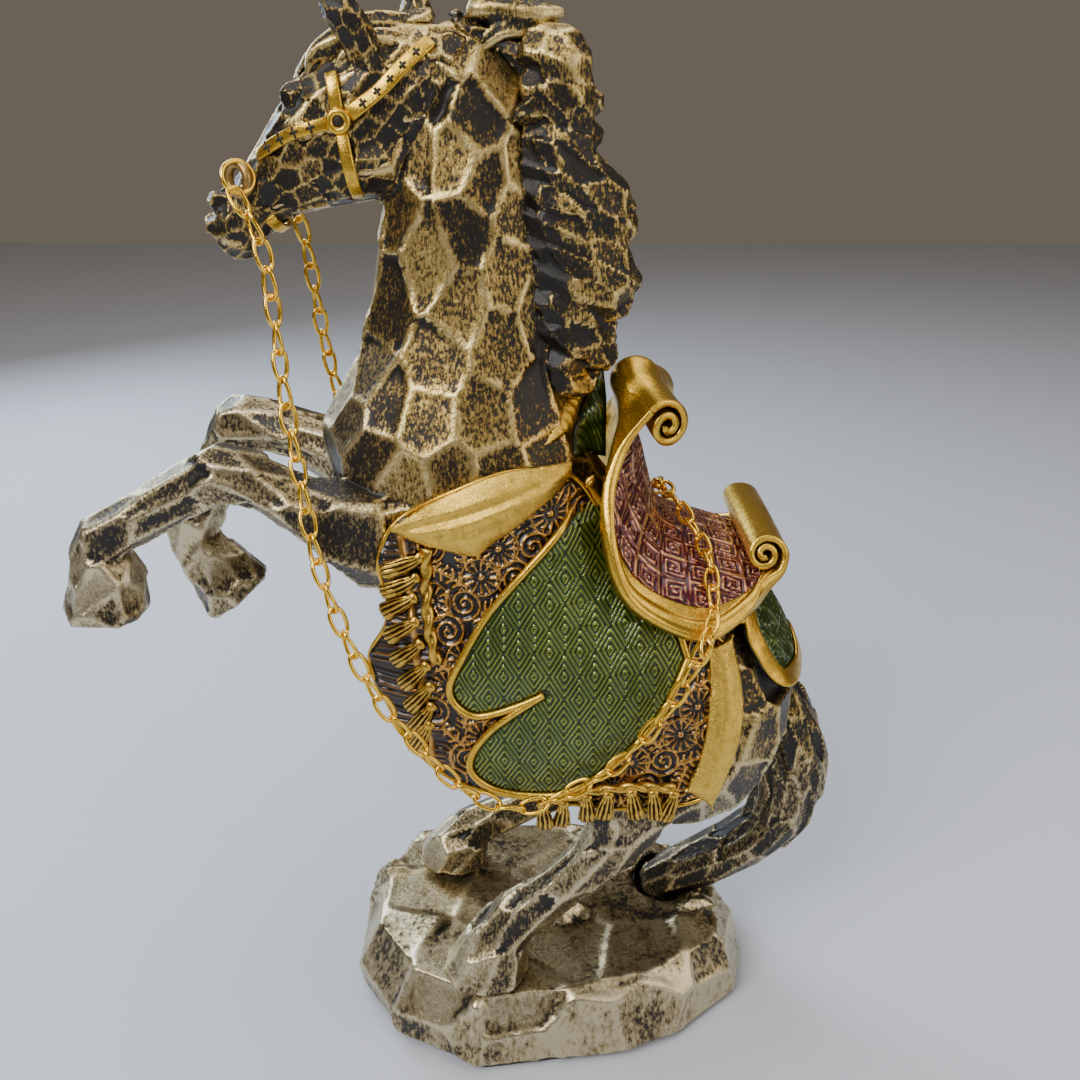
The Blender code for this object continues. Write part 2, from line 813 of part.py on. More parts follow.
HEAD_AXIS = ((-50, 0, 213), (-0.85, 0, -0.52), (-0.52, 0, 0.85), 8.0, 15)
CURB_PLACE, CURB_WIDTH, CURB_REACH = 11.0, 2.2, 9.6
BOSS = (-41.3, 223.6)
BIT = (-62.0, 12.4, 212.9)
BIT_RADIUS, BIT_WIRE = 3.7, 0.7

REIN_DIAMETER = 4.1
REIN_SWING = (  # the left rein from the bit ring to where it comes up over the saddle's edge
    (-60.9, -17.2, 208.9),
    (-57.1, -19, 201),
    (-55.5, -20.5, 188.3),
    (-54.3, -23, 172.5),
    (-52, -26.5, 156.4),
    (-48.4, -32, 137.9),
    (-42.7, -35, 120.5),
    (-35.9, -36.5, 106.2),
    (-28.6, -37, 96.2),
    (-21.1, -37, 86.9),
    (-13.4, -37, 81.5),
    (-4.3, -37, 80.1),
    (11.5, -37, 88.3),
    (20.1, -37, 97.5),
    (27.5, -37, 109),
    (32.2, -37, 119.5),
)
REIN_OVER_SEAT = (  # from the left edge of the seat over to its right edge
    (33.0, -37.2, 122.6),
    (34.4, -34.6, 126.2),
    (35.1, -30.7, 129.2),
    (35.2, -26.1, 131.9),
    (35.3, -21.5, 133.8),
    (34.8, -17.2, 135.4),
    (33.6, -13.0, 137.2),
    (32.1, -8.8, 139.1),
    (30.5, -4.5, 140.7),
    (29.0, -0.2, 141.9),
    (27.9, 4.3, 142.2),
    (27.1, 8.7, 141.8),
    (26.8, 12.9, 140.5),
    (27.0, 17.1, 138.5),
    (27.9, 21.2, 136.1),
    (29.6, 25.4, 133.9),
    (31.8, 29.9, 130.9),
    (34.0, 34.4, 126.3),
    (33.0, 37.2, 122.6),
)


# ---------------------------------------------------------------- sub-assemblies


def build_base(castings, tail, materials):
    """The rock on its felt, with bores for the steel dowels that hold the horse up."""
    outline = (
        (-52, -10),
        (-38, -30),
        (-17, -40),
        (18.5, -35),
        (34.6, -28.6),
        (51, -15),
        (54.5, -0.6),
        (50, 20),
        (30, 37),
        (4, 40),
        (-33, 38),
        (-46, 31),
        (-52, 12),
    )
    levels = ((1.0, BASE_FLOOR), (1.0, 8), (0.97, 13), (0.87, ROCK_TOP))
    slab = hull("slab", [(x * k, y * k, z) for k, z in levels for x, y in outline])
    mounds = []
    for x, y, z in ROCK_MOUNDS:
        foot = [(x + 9 * c, y + 8 * s, 14) for c, s in ((1, 0.3), (0.2, 1), (-1, 0.2), (0, -1))]
        top = [(x + 4 * c, y + 3 * s, z) for c, s in ((1, 0), (-0.4, 0.9), (-0.8, -0.7))]
        mounds.append(hull("mound", foot + top))
    rock = melt("rock_base", [slab, *mounds], 1.1, 1, 330, materials["stone"])
    floor = ((-80, BASE_FLOOR), (80, BASE_FLOOR), (80, -9), (-80, -9))
    carve(rock, [prism("floor_cut", floor, -60, 60)])
    seats = [grown(castings["left_hind_leg"], GAP), grown(castings["right_hind_leg"], GAP)]
    carve(rock, [*seats, grown(tail, GAP)])

    felt_outline = [(x * 0.93, y * 0.93) for x, y in outline]
    bm = bmesh.new()
    face = bm.faces.new([bm.verts.new((x * MM, y * MM, 0)) for x, y in felt_outline])
    pushed = bmesh.ops.extrude_face_region(bm, geom=[face])
    moved = [g for g in pushed["geom"] if isinstance(g, bmesh.types.BMVert)]
    bmesh.ops.translate(bm, vec=(0, 0, FELT_THICKNESS * MM), verts=moved)
    bmesh.ops.recalc_face_normals(bm, faces=bm.faces)
    add_object("felt_pad", bm, materials["felt"])

    pins = (
        ("left_hind_dowel", (-16, -26, 8), (-16, -26, 30), DOWEL_RADIUS, castings["left_hind_leg"]),
        ("right_hind_dowel", (-27, 17, 8), (-27, 17, 29), DOWEL_RADIUS, castings["right_hind_leg"]),
        ("tail_dowel", (33, 7.6, 9), (43, 7.2, 29.5), PIN_RADIUS, tail),
    )
    for name, low, high, radius, casting in pins:
        rod(name, low, high, radius, 14, materials["steel"])
        way = (Vector(high) - Vector(low)).normalized() * BORE_CLEARANCE
        bore = rod(
            name + "_bore", Vector(low) - way, Vector(high) + way, radius + BORE_CLEARANCE, 14
        )
        hide(bore)
        carve(rock, [bore])
        carve(casting, [bore])
    return rock


def build_hair(castings, materials):
    """Ears, forelock, mane and tail, each its own casting set on the horse with a glue line."""
    seats = [grown(castings[name], GAP) for name in ("head", "neck", "torso")]
    near = (
        (-30, 231, -40, 234, 3.4, -7),
        (-32.5, 237, -41.5, 239, 3.5, -9),
        (-35, 242, -43.5, 243, 3.2, -10.5),
        (-38, 246.5, -43.8, 247, 2, -11),
        (-41, 249.3, -42.4, 249.5, 0.7, -11.2),
    )
    far = (
        (-26, 233, -35.5, 236, 3.4, 7),
        (-24.5, 239.5, -33.5, 241.5, 3.5, 9),
        (-24, 244, -31, 244.5, 2.9, 10.5),
        (-26, 248, -29.8, 248.2, 1.8, 11),
        (-28.4, 249.9, -29.2, 250, 0.7, 11.2),
    )
    for name, rows in (("left_ear", near), ("right_ear", far)):
        ear = loft(name, rows, sides=8, steps=1, material=materials["bronze"], roundness=0.3)
        largest_body(carve(ear, [seats[0]]))
    ears = [grown(bpy.data.objects[name], GAP) for name in ("left_ear", "right_ear")]

    lock = melt("forelock", [loft("lock", FORELOCK, sides=14)], 0.7, 2, 120, materials["bronze"])
    largest_body(carve(lock, [seats[0], seats[1], *ears]))
    locks = [grown(lock, GAP)]

    tuft = melt("poll_tuft", [loft("tuft", POLL_TUFT, sides=14)], 0.7, 2, 120, materials["bronze"])
    largest_body(carve(tuft, [*seats[:2], *ears, *locks]))
    locks.append(grown(tuft, GAP))

    lumps = [loft("mane_form", MANE, sides=22)]
    for side, z, x in ((LEFT, 226, 8), (RIGHT, 217, 9), (LEFT, 206, 14), (RIGHT, 196, 14), (LEFT, 186, 16)):
        strand = (
            (x - 14, z + 3, x - 16, z - 5, 3.5, side * 9),
            (x - 7, z + 5, x - 10, z - 5, 4.2, side * 7),
            (x, z + 2, x - 3, z - 4, 3.5, side * 4),
        )
        lumps.append(loft("strand", strand, sides=12))
    mane = melt("mane", lumps, 0.9, 2, 460, materials["bronze"])
    largest_body(carve(mane, [*seats, *ears, *locks]))

    tail = melt("tail", [loft("tail_form", TAIL, sides=18)], 0.9, 2, 320, materials["bronze"])
    return largest_body(carve(tail, [seats[2]])), mane


def build_cloths(form, mane, materials):
    """The caparison in layers: cloth, flaps, hems and tassels on each flank, and the saddle."""
    names = ("gold", "enamel_green", "enamel_red", "filigree")
    gold, green, red, filigree = (materials[name] for name in names)
    around = AroundAxis(*BARREL_AXIS)
    for side, word in ((LEFT, "left"), (RIGHT, "right")):
        view = SideView(side)
        draped(word + "_saddle_cloth", form, CLOTH, view, 0.4, 1.3, 5.4, filigree)
        draped(word + "_tassel_band", form, TASSELS, view, 2.1, 3.2, 4.0, gold)
        draped(word + "_green_flap", form, FLAP, view, 2.3, 3.3, 5.0, green)
        draped(word + "_front_hem", form, FRONT_HEM, view, 2.1, 4.6, 4.4, gold)
        draped(word + "_rear_hem", form, REAR_HEM, view, 2.1, 4.2, 4.4, gold)
    draped("croup_skirt", form, SKIRT, around, 2.0, 3.4, 4.6, green)
    seat = build_seat(form, red)
    room = [grown(seat, GAP), grown(mane, GAP)]
    rolls = (
        ("pommel_scroll", ((26, -16.8, 163.3), (23.2, -8, 166.4), (20.3, 0, 168)), 5.3),
        ("cantle_scroll", ((47.8, -18.4, 133.6), (47.6, -9, 133.7), (47.5, 0, 133.7)), 4.7),
    )
    for name, half, radius in rolls:
        other = [(x, -y, z) for x, y, z in half[:-1]][::-1]
        roll = bent_rod(name, (*half, *other), radius, sides=12, material=gold)
        largest_body(carve(roll, room))


def build_seat(form, material):
    """The saddle: a sheet through the rows of SADDLE, kept clear of what lies under it."""
    tree = BVHTree.FromObject(form, bpy.context.evaluated_depsgraph_get())
    rows = []
    for row in SADDLE:
        left = [(x, -y, z) for x, y, z in row[1:]][::-1]
        across = smooth_through([tuple(map(float, p)) for p in (*left, *row)], 2)
        rows.append([value for point in across for value in point])
    grid = []
    for values in smooth_through(rows, 2):
        line = []
        for k in range(0, len(values), 3):
            point = Vector(values[k : k + 3]) * MM
            spot, normal, _, _ = tree.find_nearest(point)
            if (point - spot).dot(normal) < SADDLE_CLEAR * MM:
                point = spot + normal * SADDLE_CLEAR * MM
            line.append(point)
        grid.append(line)
    bm = bmesh.new()
    middle = [[bm.verts.new(p) for p in line] for line in grid]
    for one, two in zip(middle, middle[1:]):
        for k in range(len(one) - 1):
            bm.faces.new((one[k], one[k + 1], two[k + 1], two[k]))
    thicken(bm, -SADDLE_THICKNESS / 2, SADDLE_THICKNESS / 2, Vector((0, 0, 1)))
    return add_object("saddle_seat", bm, material)


def build_bridle(whole, materials):
    """Straps, bosses, curb strap and bit rings."""
    gold = materials["gold"]
    for side, word in ((LEFT, "left"), (RIGHT, "right")):
        view = SideView(side)
        for strap, (line, width) in STRAPS.items():
            name = word + "_" + strap
            draped(name, whole, ribbon(line, width), view, 0.6, 1.5, width, gold)
        x, z = BOSS
        rod(word + "_boss", (x, side * 12.4, z), (x, side * 14.6, z), 2.2, 14, gold)
        centre = (BIT[0], side * BIT[1], BIT[2])
        torus(word + "_bit_ring", centre, (-0.6, side * 0.8, 0), BIT_RADIUS, BIT_WIRE, gold)
    low, high = math.pi * HEAD_AXIS[3] - CURB_REACH, math.pi * HEAD_AXIS[3] + CURB_REACH
    half = CURB_WIDTH / 2
    band = [(CURB_PLACE - half, low), (CURB_PLACE + half, low)]
    band += [(CURB_PLACE + half, high), (CURB_PLACE - half, high)]
    draped("curb_strap", whole, band, AroundAxis(*HEAD_AXIS), 0.35, 1.3, 2.4, gold)


def build_reins(materials):
    """The chain in three runs: two that hang and swing, and the one that lies over the seat."""
    gold = materials["chain"]
    cord("left_rein", REIN_SWING, REIN_DIAMETER, 2, gold)
    cord("right_rein", [(x, -y, z) for x, y, z in REIN_SWING], REIN_DIAMETER, 2, gold)
    cord("seat_rein", REIN_OVER_SEAT, REIN_DIAMETER, 2, gold)


def main():
    clear_scene()
    materials = {
        "bronze": make_material("bronze", (0.28, 0.24, 0.17), 0.38, 0.9),
        "stone": make_material("cast_stone", (0.33, 0.30, 0.24), 0.42, 0.85),
        "felt": make_material("felt", (0.02, 0.02, 0.02), 0.95, 0.0),
        "steel": make_material("steel", (0.55, 0.56, 0.58), 0.35, 1.0),
        "gold": make_material("gold_paint", (0.82, 0.57, 0.16), 0.35, 0.9),
        "chain": make_material("brass_chain", (0.95, 0.68, 0.25), 0.2, 1.0),
        "enamel_green": make_material("green_enamel", (0.14, 0.27, 0.04), 0.25, 0.3),
        "enamel_red": make_material("red_enamel", (0.32, 0.02, 0.06), 0.25, 0.3),
        "filigree": make_material("filigree", (0.35, 0.18, 0.06), 0.4, 0.7),
    }
    castings, whole = build_horse(materials["bronze"])
    tail, mane = build_hair(castings, materials)
    build_base(castings, tail, materials)
    build_cloths(build_drape_form(), mane, materials)
    build_bridle(whole, materials)
    build_reins(materials)


main()
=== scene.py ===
"""Looks of the rearing horse statuette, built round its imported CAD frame.

Tables are in millimetres and MM turns them into metres. The horse faces -X and its left is -Y.
"""

import math

import bmesh
import bpy
import numpy as np
from mathutils import Matrix, Vector
from mathutils.bvhtree import BVHTree


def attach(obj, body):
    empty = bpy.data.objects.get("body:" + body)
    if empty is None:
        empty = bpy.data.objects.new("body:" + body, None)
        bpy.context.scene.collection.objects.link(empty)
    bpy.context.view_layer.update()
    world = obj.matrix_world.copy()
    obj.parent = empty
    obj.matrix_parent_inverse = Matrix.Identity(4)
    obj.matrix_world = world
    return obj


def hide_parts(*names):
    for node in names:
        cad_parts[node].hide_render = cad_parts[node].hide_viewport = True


MM = 0.001
LEFT, RIGHT = -1, 1
SIDES = ((LEFT, "left"), (RIGHT, "right"))
BODY = "statue"

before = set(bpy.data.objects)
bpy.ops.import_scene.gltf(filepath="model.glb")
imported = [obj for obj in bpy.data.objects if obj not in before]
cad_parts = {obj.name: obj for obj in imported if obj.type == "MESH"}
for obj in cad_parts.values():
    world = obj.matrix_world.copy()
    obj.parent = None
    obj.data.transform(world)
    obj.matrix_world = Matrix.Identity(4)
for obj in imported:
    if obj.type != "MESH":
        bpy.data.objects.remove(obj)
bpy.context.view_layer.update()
random = np.random.default_rng(11)


# ---------------------------------------------------------------- meshes


def show(name, mesh, material=None):
    """Puts a mesh in the scene, shaded smooth."""
    obj = bpy.data.objects.new(name, mesh)
    bpy.context.scene.collection.objects.link(obj)
    if material:
        mesh.materials.append(material)
    mesh.polygons.foreach_set("use_smooth", [True] * len(mesh.polygons))
    return obj


def add_object(name, points, faces, material=None):
    mesh = bpy.data.meshes.new(name)
    mesh.from_pydata([tuple(p) for p in np.asarray(points, dtype=float) * MM], [], faces)
    return show(name, mesh, material)


def settle(obj):
    """Applies the object's modifiers to its mesh."""
    graph = bpy.context.evaluated_depsgraph_get()
    mesh = bpy.data.meshes.new_from_object(obj.evaluated_get(graph))
    obj.modifiers.clear()
    obj.data = mesh


def faced_out(obj):
    """The same object with its faces turned outwards."""
    bm = bmesh.new()
    bm.from_mesh(obj.data)
    bmesh.ops.recalc_face_normals(bm, faces=bm.faces)
    bm.to_mesh(obj.data)
    bm.free()
    return obj


def copies(names, swell=0.0):
    """Copies of CAD nodes, with their surfaces moved out by that many millimetres."""
    made = []
    for name in names:
        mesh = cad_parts[name].data.copy()
        bm = bmesh.new()
        bm.from_mesh(mesh)
        bmesh.ops.remove_doubles(bm, verts=bm.verts, dist=1e-6)
        bmesh.ops.recalc_face_normals(bm, faces=bm.faces)
        bm.normal_update()
        for vertex in bm.verts:
            vertex.co += vertex.normal * swell * MM
        bm.to_mesh(mesh)
        bm.free()
        made.append(show(name + "_copy", mesh))
    return made


def joined(name, objects, material=None):
    """One object from several, which it uses up."""
    bm = bmesh.new()
    for obj in objects:
        bm.from_mesh(obj.data)
        bpy.data.objects.remove(obj, do_unlink=True)
    mesh = bpy.data.meshes.new(name)
    bm.to_mesh(mesh)
    bm.free()
    return show(name, mesh, material)


def melted(name, objects, voxel, smoothing, material):
    """One skin round solids that overlap."""
    whole = joined(name, objects, material)
    remesh = whole.modifiers.new("voxels", "REMESH")
    remesh.mode = "VOXEL"
    remesh.voxel_size = voxel * MM
    remesh.use_smooth_shade = True
    soften = whole.modifiers.new("soften", "SMOOTH")
    soften.factor = 0.5
    soften.iterations = smoothing
    settle(whole)
    whole.data.materials.clear()
    whole.data.materials.append(material)
    return whole


def arrays(obj):
    """The object's points in millimetres, its point normals and its edges."""
    mesh = obj.data
    points = np.empty(len(mesh.vertices) * 3)
    normals = np.empty(len(mesh.vertices) * 3)
    edges = np.empty(len(mesh.edges) * 2, dtype=np.int32)
    mesh.vertices.foreach_get("co", points)
    mesh.vertex_normals.foreach_get("vector", normals)
    mesh.edges.foreach_get("vertices", edges)
    return points.reshape(-1, 3) / MM, normals.reshape(-1, 3), edges.reshape(-1, 2)


def reshape(obj, points):
    obj.data.vertices.foreach_set("co", (points * MM).ravel())
    obj.data.update()


def relaxed(values, edges, rounds):
    """Each point's values averaged with its neighbours', that many times over."""
    one, two = edges[:, 0], edges[:, 1]
    size = len(values)
    count = np.maximum(np.bincount(edges.ravel(), minlength=size), 1)
    for _ in range(rounds):
        columns = [
            np.bincount(one, weights=values[two, k], minlength=size)
            + np.bincount(two, weights=values[one, k], minlength=size)
            for k in range(values.shape[1])
        ]
        values = np.stack(columns, axis=1) / count[:, None]
    return values


def paint(obj, name, values):
    """Stores one number per point for the material to read."""
    attribute = obj.data.attributes.new(name, "FLOAT", "POINT")
    attribute.data.foreach_set("value", np.asarray(values, dtype=np.float32))


def smoothstep(low, high, x):
    """0 at low, 1 at high, and smooth between them."""
    t = np.clip((x - low) / (high - low), 0, 1)
    return t * t * (3 - 2 * t)


def standing_out(points, normals, edges, rounds):
    """How far each point stands out from its surroundings, in millimetres."""
    return np.einsum("ij,ij->i", points - relaxed(points, edges, rounds), normals)


# ---------------------------------------------------------------- curves and sweeps


def through(rows, steps, closed=False):
    """Points on a smooth curve through the rows."""
    rows = np.asarray(rows, dtype=float)
    if closed:
        ends = np.vstack([rows[-1:], rows, rows[:2]])
        spans = len(rows)
    else:
        ends = np.vstack([rows[:1], rows, rows[-1:]])
        spans = len(rows) - 1
    out = []
    for i in range(spans):
        p, q, r, s = ends[i : i + 4]
        square, cube = 2 * p - 5 * q + 4 * r - s, 3 * q - p - 3 * r + s
        for t in np.arange(steps) / steps:
            out.append(0.5 * (2 * q + (r - p) * t + square * t**2 + cube * t**3))
    if not closed:
        out.append(rows[-1])
    return np.array(out)


def evenly(points, spacing):
    """The same line with its points that far apart."""
    points = np.asarray(points, dtype=float)
    steps = np.linalg.norm(np.diff(points, axis=0), axis=1)
    length = np.concatenate([[0], np.cumsum(steps)])
    wanted = np.linspace(0, length[-1], max(2, round(length[-1] / spacing) + 1))
    return np.stack([np.interp(wanted, length, column) for column in points.T], 1)


def spread(line, count):
    """The same line with that many points."""
    at = np.linspace(0, len(line) - 1, count)
    return np.stack([np.interp(at, np.arange(len(line)), column) for column in line.T], 1)


def along(points):
    """Unit directions along a line."""
    way = np.gradient(points, axis=0)
    return way / np.maximum(np.linalg.norm(way, axis=1), 1e-9)[:, None]


def sweep(name, line, profile, up, material=None, closed=False):
    """A skin along a line. profile(k, n) gives ring k of n as points (across, outwards)."""
    line = np.asarray(line, dtype=float)
    if closed:
        way = np.roll(line, -1, axis=0) - np.roll(line, 1, axis=0)
        way /= np.linalg.norm(way, axis=1)[:, None]
    else:
        way = along(line)
    ups = np.broadcast_to(np.asarray(up, dtype=float), line.shape)
    across = np.cross(way, ups)
    across /= np.maximum(np.linalg.norm(across, axis=1), 1e-9)[:, None]
    out = np.cross(across, way)
    rings = []
    for k in range(len(line)):
        ring = np.asarray(profile(k, len(line)))
        rings.append(line[k] + ring[:, :1] * across[k] + ring[:, 1:] * out[k])
    sides = len(rings[0])
    points = np.vstack(rings)
    faces = []
    for k in range(len(line) if closed else len(line) - 1):
        a, b = k * sides, ((k + 1) % len(line)) * sides
        for j in range(sides):
            i = (j + 1) % sides
            faces.append((a + j, a + i, b + i, b + j))
    if not closed:
        last = (len(line) - 1) * sides
        faces.append(tuple(range(sides))[::-1])
        faces.append(tuple(range(last, last + sides)))
    return faced_out(add_object(name, points, faces, material))


def all_round(sides):
    """Angles in even steps, once round."""
    return np.arange(sides) * 2 * math.pi / sides


def oval(turn, across, out):
    return np.stack([across * np.cos(turn), out * np.sin(turn)], 1)


def circle(radius, sides=10, flat=1.0):
    return oval(all_round(sides), radius, radius * flat)


def blob(centre, radii, lean=0.0):
    """An ellipsoid, leaned about Y by that many degrees."""
    bm = bmesh.new()
    bmesh.ops.create_uvsphere(bm, u_segments=20, v_segments=12, radius=1.0)
    bm.transform(
        Matrix.Translation(Vector(centre) * MM)
        @ Matrix.Rotation(math.radians(lean), 4, "Y")
        @ Matrix.Diagonal((*(Vector(radii) * MM), 1.0))
    )
    mesh = bpy.data.meshes.new("blob")
    bm.to_mesh(mesh)
    bm.free()
    return show("blob", mesh)


def lock(route, width, thickness, up, steps=5, grooves=0.2, blunt=0.03, lobes=5):
    """A carved lock of hair: it swells from its root, is grooved along, and narrows to its tip."""
    turn = all_round(18)

    def profile(k, n):
        t = k / (n - 1)
        swell = (0.55 + 0.45 * math.sin(math.pi * min(1.0, t * 1.25))) * (1 - t**3) + blunt
        depth = 1 - grooves * (0.5 + 0.5 * np.cos(lobes * turn + 2.0 * t))
        return oval(turn, width / 2 * swell * depth, thickness / 2 * swell * depth)

    return sweep("lock", through(route, steps), profile, up)


# ---------------------------------------------------------------- carving


LIMBS = (  # lines along which facets are drawn out: start, end, reach, stretch
    ((-46, -17, 140), (-71, -18.5, 154), 15, 1.9),
    ((-71, -18.5, 154), (-100, -18.5, 138), 13, 2.3),
    ((-46, 17, 141), (-76, 18, 153), 15, 1.9),
    ((-78, 18, 150), (-90, 18, 124), 12, 2.2),
    ((18, -22, 68), (-16, -26, 32), 14, 2.4),
    ((14, 17, 58), (-25, 17, 30), 14, 2.4),
    ((20, -20, 90), (18, -22, 68), 14, 1.5),
    ((-35, 0, 225), (-66, 0, 203), 20, 1.35),
    ((-14, 0, 225), (-22, 0, 175), 26, 1.25),
)


def grain(points):
    """The way that facets are drawn out at each point, and how much."""
    way = np.tile((0.0, 0.0, 1.0), (len(points), 1))
    stretch = np.ones(len(points))
    nearest = np.full(len(points), 1e9)
    for start, end, reach, amount in LIMBS:
        start, end = np.array(start, dtype=float), np.array(end, dtype=float)
        line = end - start
        t = np.clip((points - start) @ line / (line @ line), 0, 1)
        gap = np.linalg.norm(points - start - t[:, None] * line, axis=1) / reach
        hit = (gap < 1) & (gap < nearest)
        way[hit] = line / np.linalg.norm(line)
        stretch[hit] = amount
        nearest[hit] = gap[hit]
    return way, stretch


def drawn_along(line, stretch):
    """A grain that follows a line."""
    spots = through(line, 6)
    ways = along(spots)

    def flow(points):
        near = np.linalg.norm(points[:, None] - spots[None], axis=2).argmin(axis=1)
        return ways[near], np.full(len(points), stretch)

    return flow


def facet_distance(points, normals, seeds, turn):
    """Each point's distance to each seed, in facet sizes. Facets don't reach round corners."""
    spots, facings, ways, stretch, sizes = seeds
    step = points[:, None] - spots[None]
    run = np.einsum("ijk,jk->ij", step, ways)
    square = np.einsum("ijk,ijk->ij", step, step) - (1 - 1 / stretch**2) * run**2
    bend = 2 - 2 * normals @ facings.T
    return np.sqrt(np.maximum(square / sizes**2 + turn**2 * bend, 0))


SPOTS_TRIED = 9000  # at most, for the middles of facets
CLOSEST_FACETS = 0.8  # in facet sizes
POINTS_AT_A_TIME = 2500


def carve_facets(
    obj, size_of, flow=grain, turn=0.8, depth=0.22, jitter=0.0, ridge=0.6, hollow=0.25, leaf_and_shade=None, soften=1
):
    """Cuts the surface into hollow facets like a gouge's, and stores where their ridges are.

    depth and ridge say how far a point may move, in facet sizes, and how wide a ridge is, in mm.
    """
    points, normals, edges = arrays(obj)
    points, normals = points.astype(np.float32), normals.astype(np.float32)
    order = random.permutation(len(points))[:SPOTS_TRIED]
    size, (way, stretch) = size_of(points[order]), flow(points[order])
    chosen = []
    for k in range(len(order)):
        if chosen:
            row = order[k : k + 1]
            picked = order[chosen]
            seeds = (points[picked], normals[picked], way[chosen], stretch[chosen], size[chosen])
            if facet_distance(points[row], normals[row], seeds, turn).min() < CLOSEST_FACETS:
                continue
        chosen.append(k)
    picked = order[chosen]
    seeds = (points[picked], normals[picked], way[chosen], stretch[chosen], size[chosen])
    sink = random.uniform(-jitter, 0, len(chosen))
    tone = random.uniform(0, 1, len(chosen))
    moved = points.astype(float)
    rim, cell = np.empty(len(points)), np.empty(len(points))
    apart = facet_distance(seeds[0], seeds[1], seeds, turn)
    for start in range(0, len(points), POINTS_AT_A_TIME):
        part = slice(start, start + POINTS_AT_A_TIME)
        gap = facet_distance(points[part], normals[part], seeds, turn)
        two = np.argpartition(gap, 1, axis=1)[:, :2]
        rows = np.arange(len(gap))
        swap = gap[rows, two[:, 0]] > gap[rows, two[:, 1]]
        two[swap] = two[swap][:, ::-1]
        first, second = two[:, 0], two[:, 1]
        near, far = gap[rows, first], gap[rows, second]
        rim[part] = (far**2 - near**2) / (2 * apart[first, second] + 1e-6) * seeds[4][first]
        cell[part] = tone[first]
        facing = seeds[1][first]
        dip = sink[first] - hollow * smoothstep(0, 1.8 * ridge + 0.6, rim[part])
        height = np.einsum("ij,ij->i", points[part] - seeds[0][first], facing) - dip
        most = depth * seeds[4][first]
        moved[part] -= np.clip(height, -most, most)[:, None] * facing
    for _ in range(soften):
        moved = 0.6 * moved + 0.4 * relaxed(moved, edges, 1)
    reshape(obj, moved)
    out = standing_out(moved, normals, edges, 3)
    worn = 0.7 * np.exp(-((rim / ridge / 0.75) ** 2)) + 0.3 * np.exp(-((rim / ridge / 3.2) ** 2))
    paint(obj, "worn", worn * smoothstep(-0.07, 0.01, out))
    paint(obj, "sunk", smoothstep(0.03, 0.16, -out))
    # the tone also takes the given offsets: more leaf on the hooves, and painted shade in the groove
    # between the neck and the mane
    paint(obj, "tone", cell + (0 if leaf_and_shade is None else leaf_and_shade(moved)))


def facets(size):
    """Facets of one size all over."""
    return lambda points: np.full(len(points), size)


def wear_and_shade(obj, rounds=6, low=0.02, high=0.14):
    """Stores which points stand out and which lie deep: on the patina they wear bright and stay dark, and
    on gold paint the deep ones take painted shade.
    """
    points, normals, edges = arrays(obj)
    out = standing_out(points, normals, edges, rounds)
    paint(obj, "worn", smoothstep(low, high, out))
    paint(obj, "sunk", smoothstep(low, high, -out))
    paint(obj, "tone", np.full(len(points), 0.5))


# ---------------------------------------------------------------- relief laid on a form


class SideView:
    """Maps (x, z) onto the flank, along Y from its left or its right."""

    def __init__(self, side):
        self.side = side

    def rays(self, flat):
        starts = np.stack([flat[:, 0], np.full(len(flat), self.side * 60.0), flat[:, 1]], 1)
        return starts, np.tile((0.0, -self.side, 0.0), (len(flat), 1))


class AroundAxis:
    """Maps (distance along an axis, arc length from its top) onto what lies round it."""

    def __init__(self, start, way, up, radius, reach):
        self.start, self.way, self.up = (np.array(row, dtype=float) for row in (start, way, up))
        self.radius, self.reach = radius, reach

    def rays(self, flat):
        angle = flat[:, 1:] / self.radius
        out = self.up * np.cos(angle) + np.array((0, -1.0, 0)) * np.sin(angle)
        return self.start + self.way * flat[:, :1] + out * self.reach, -out


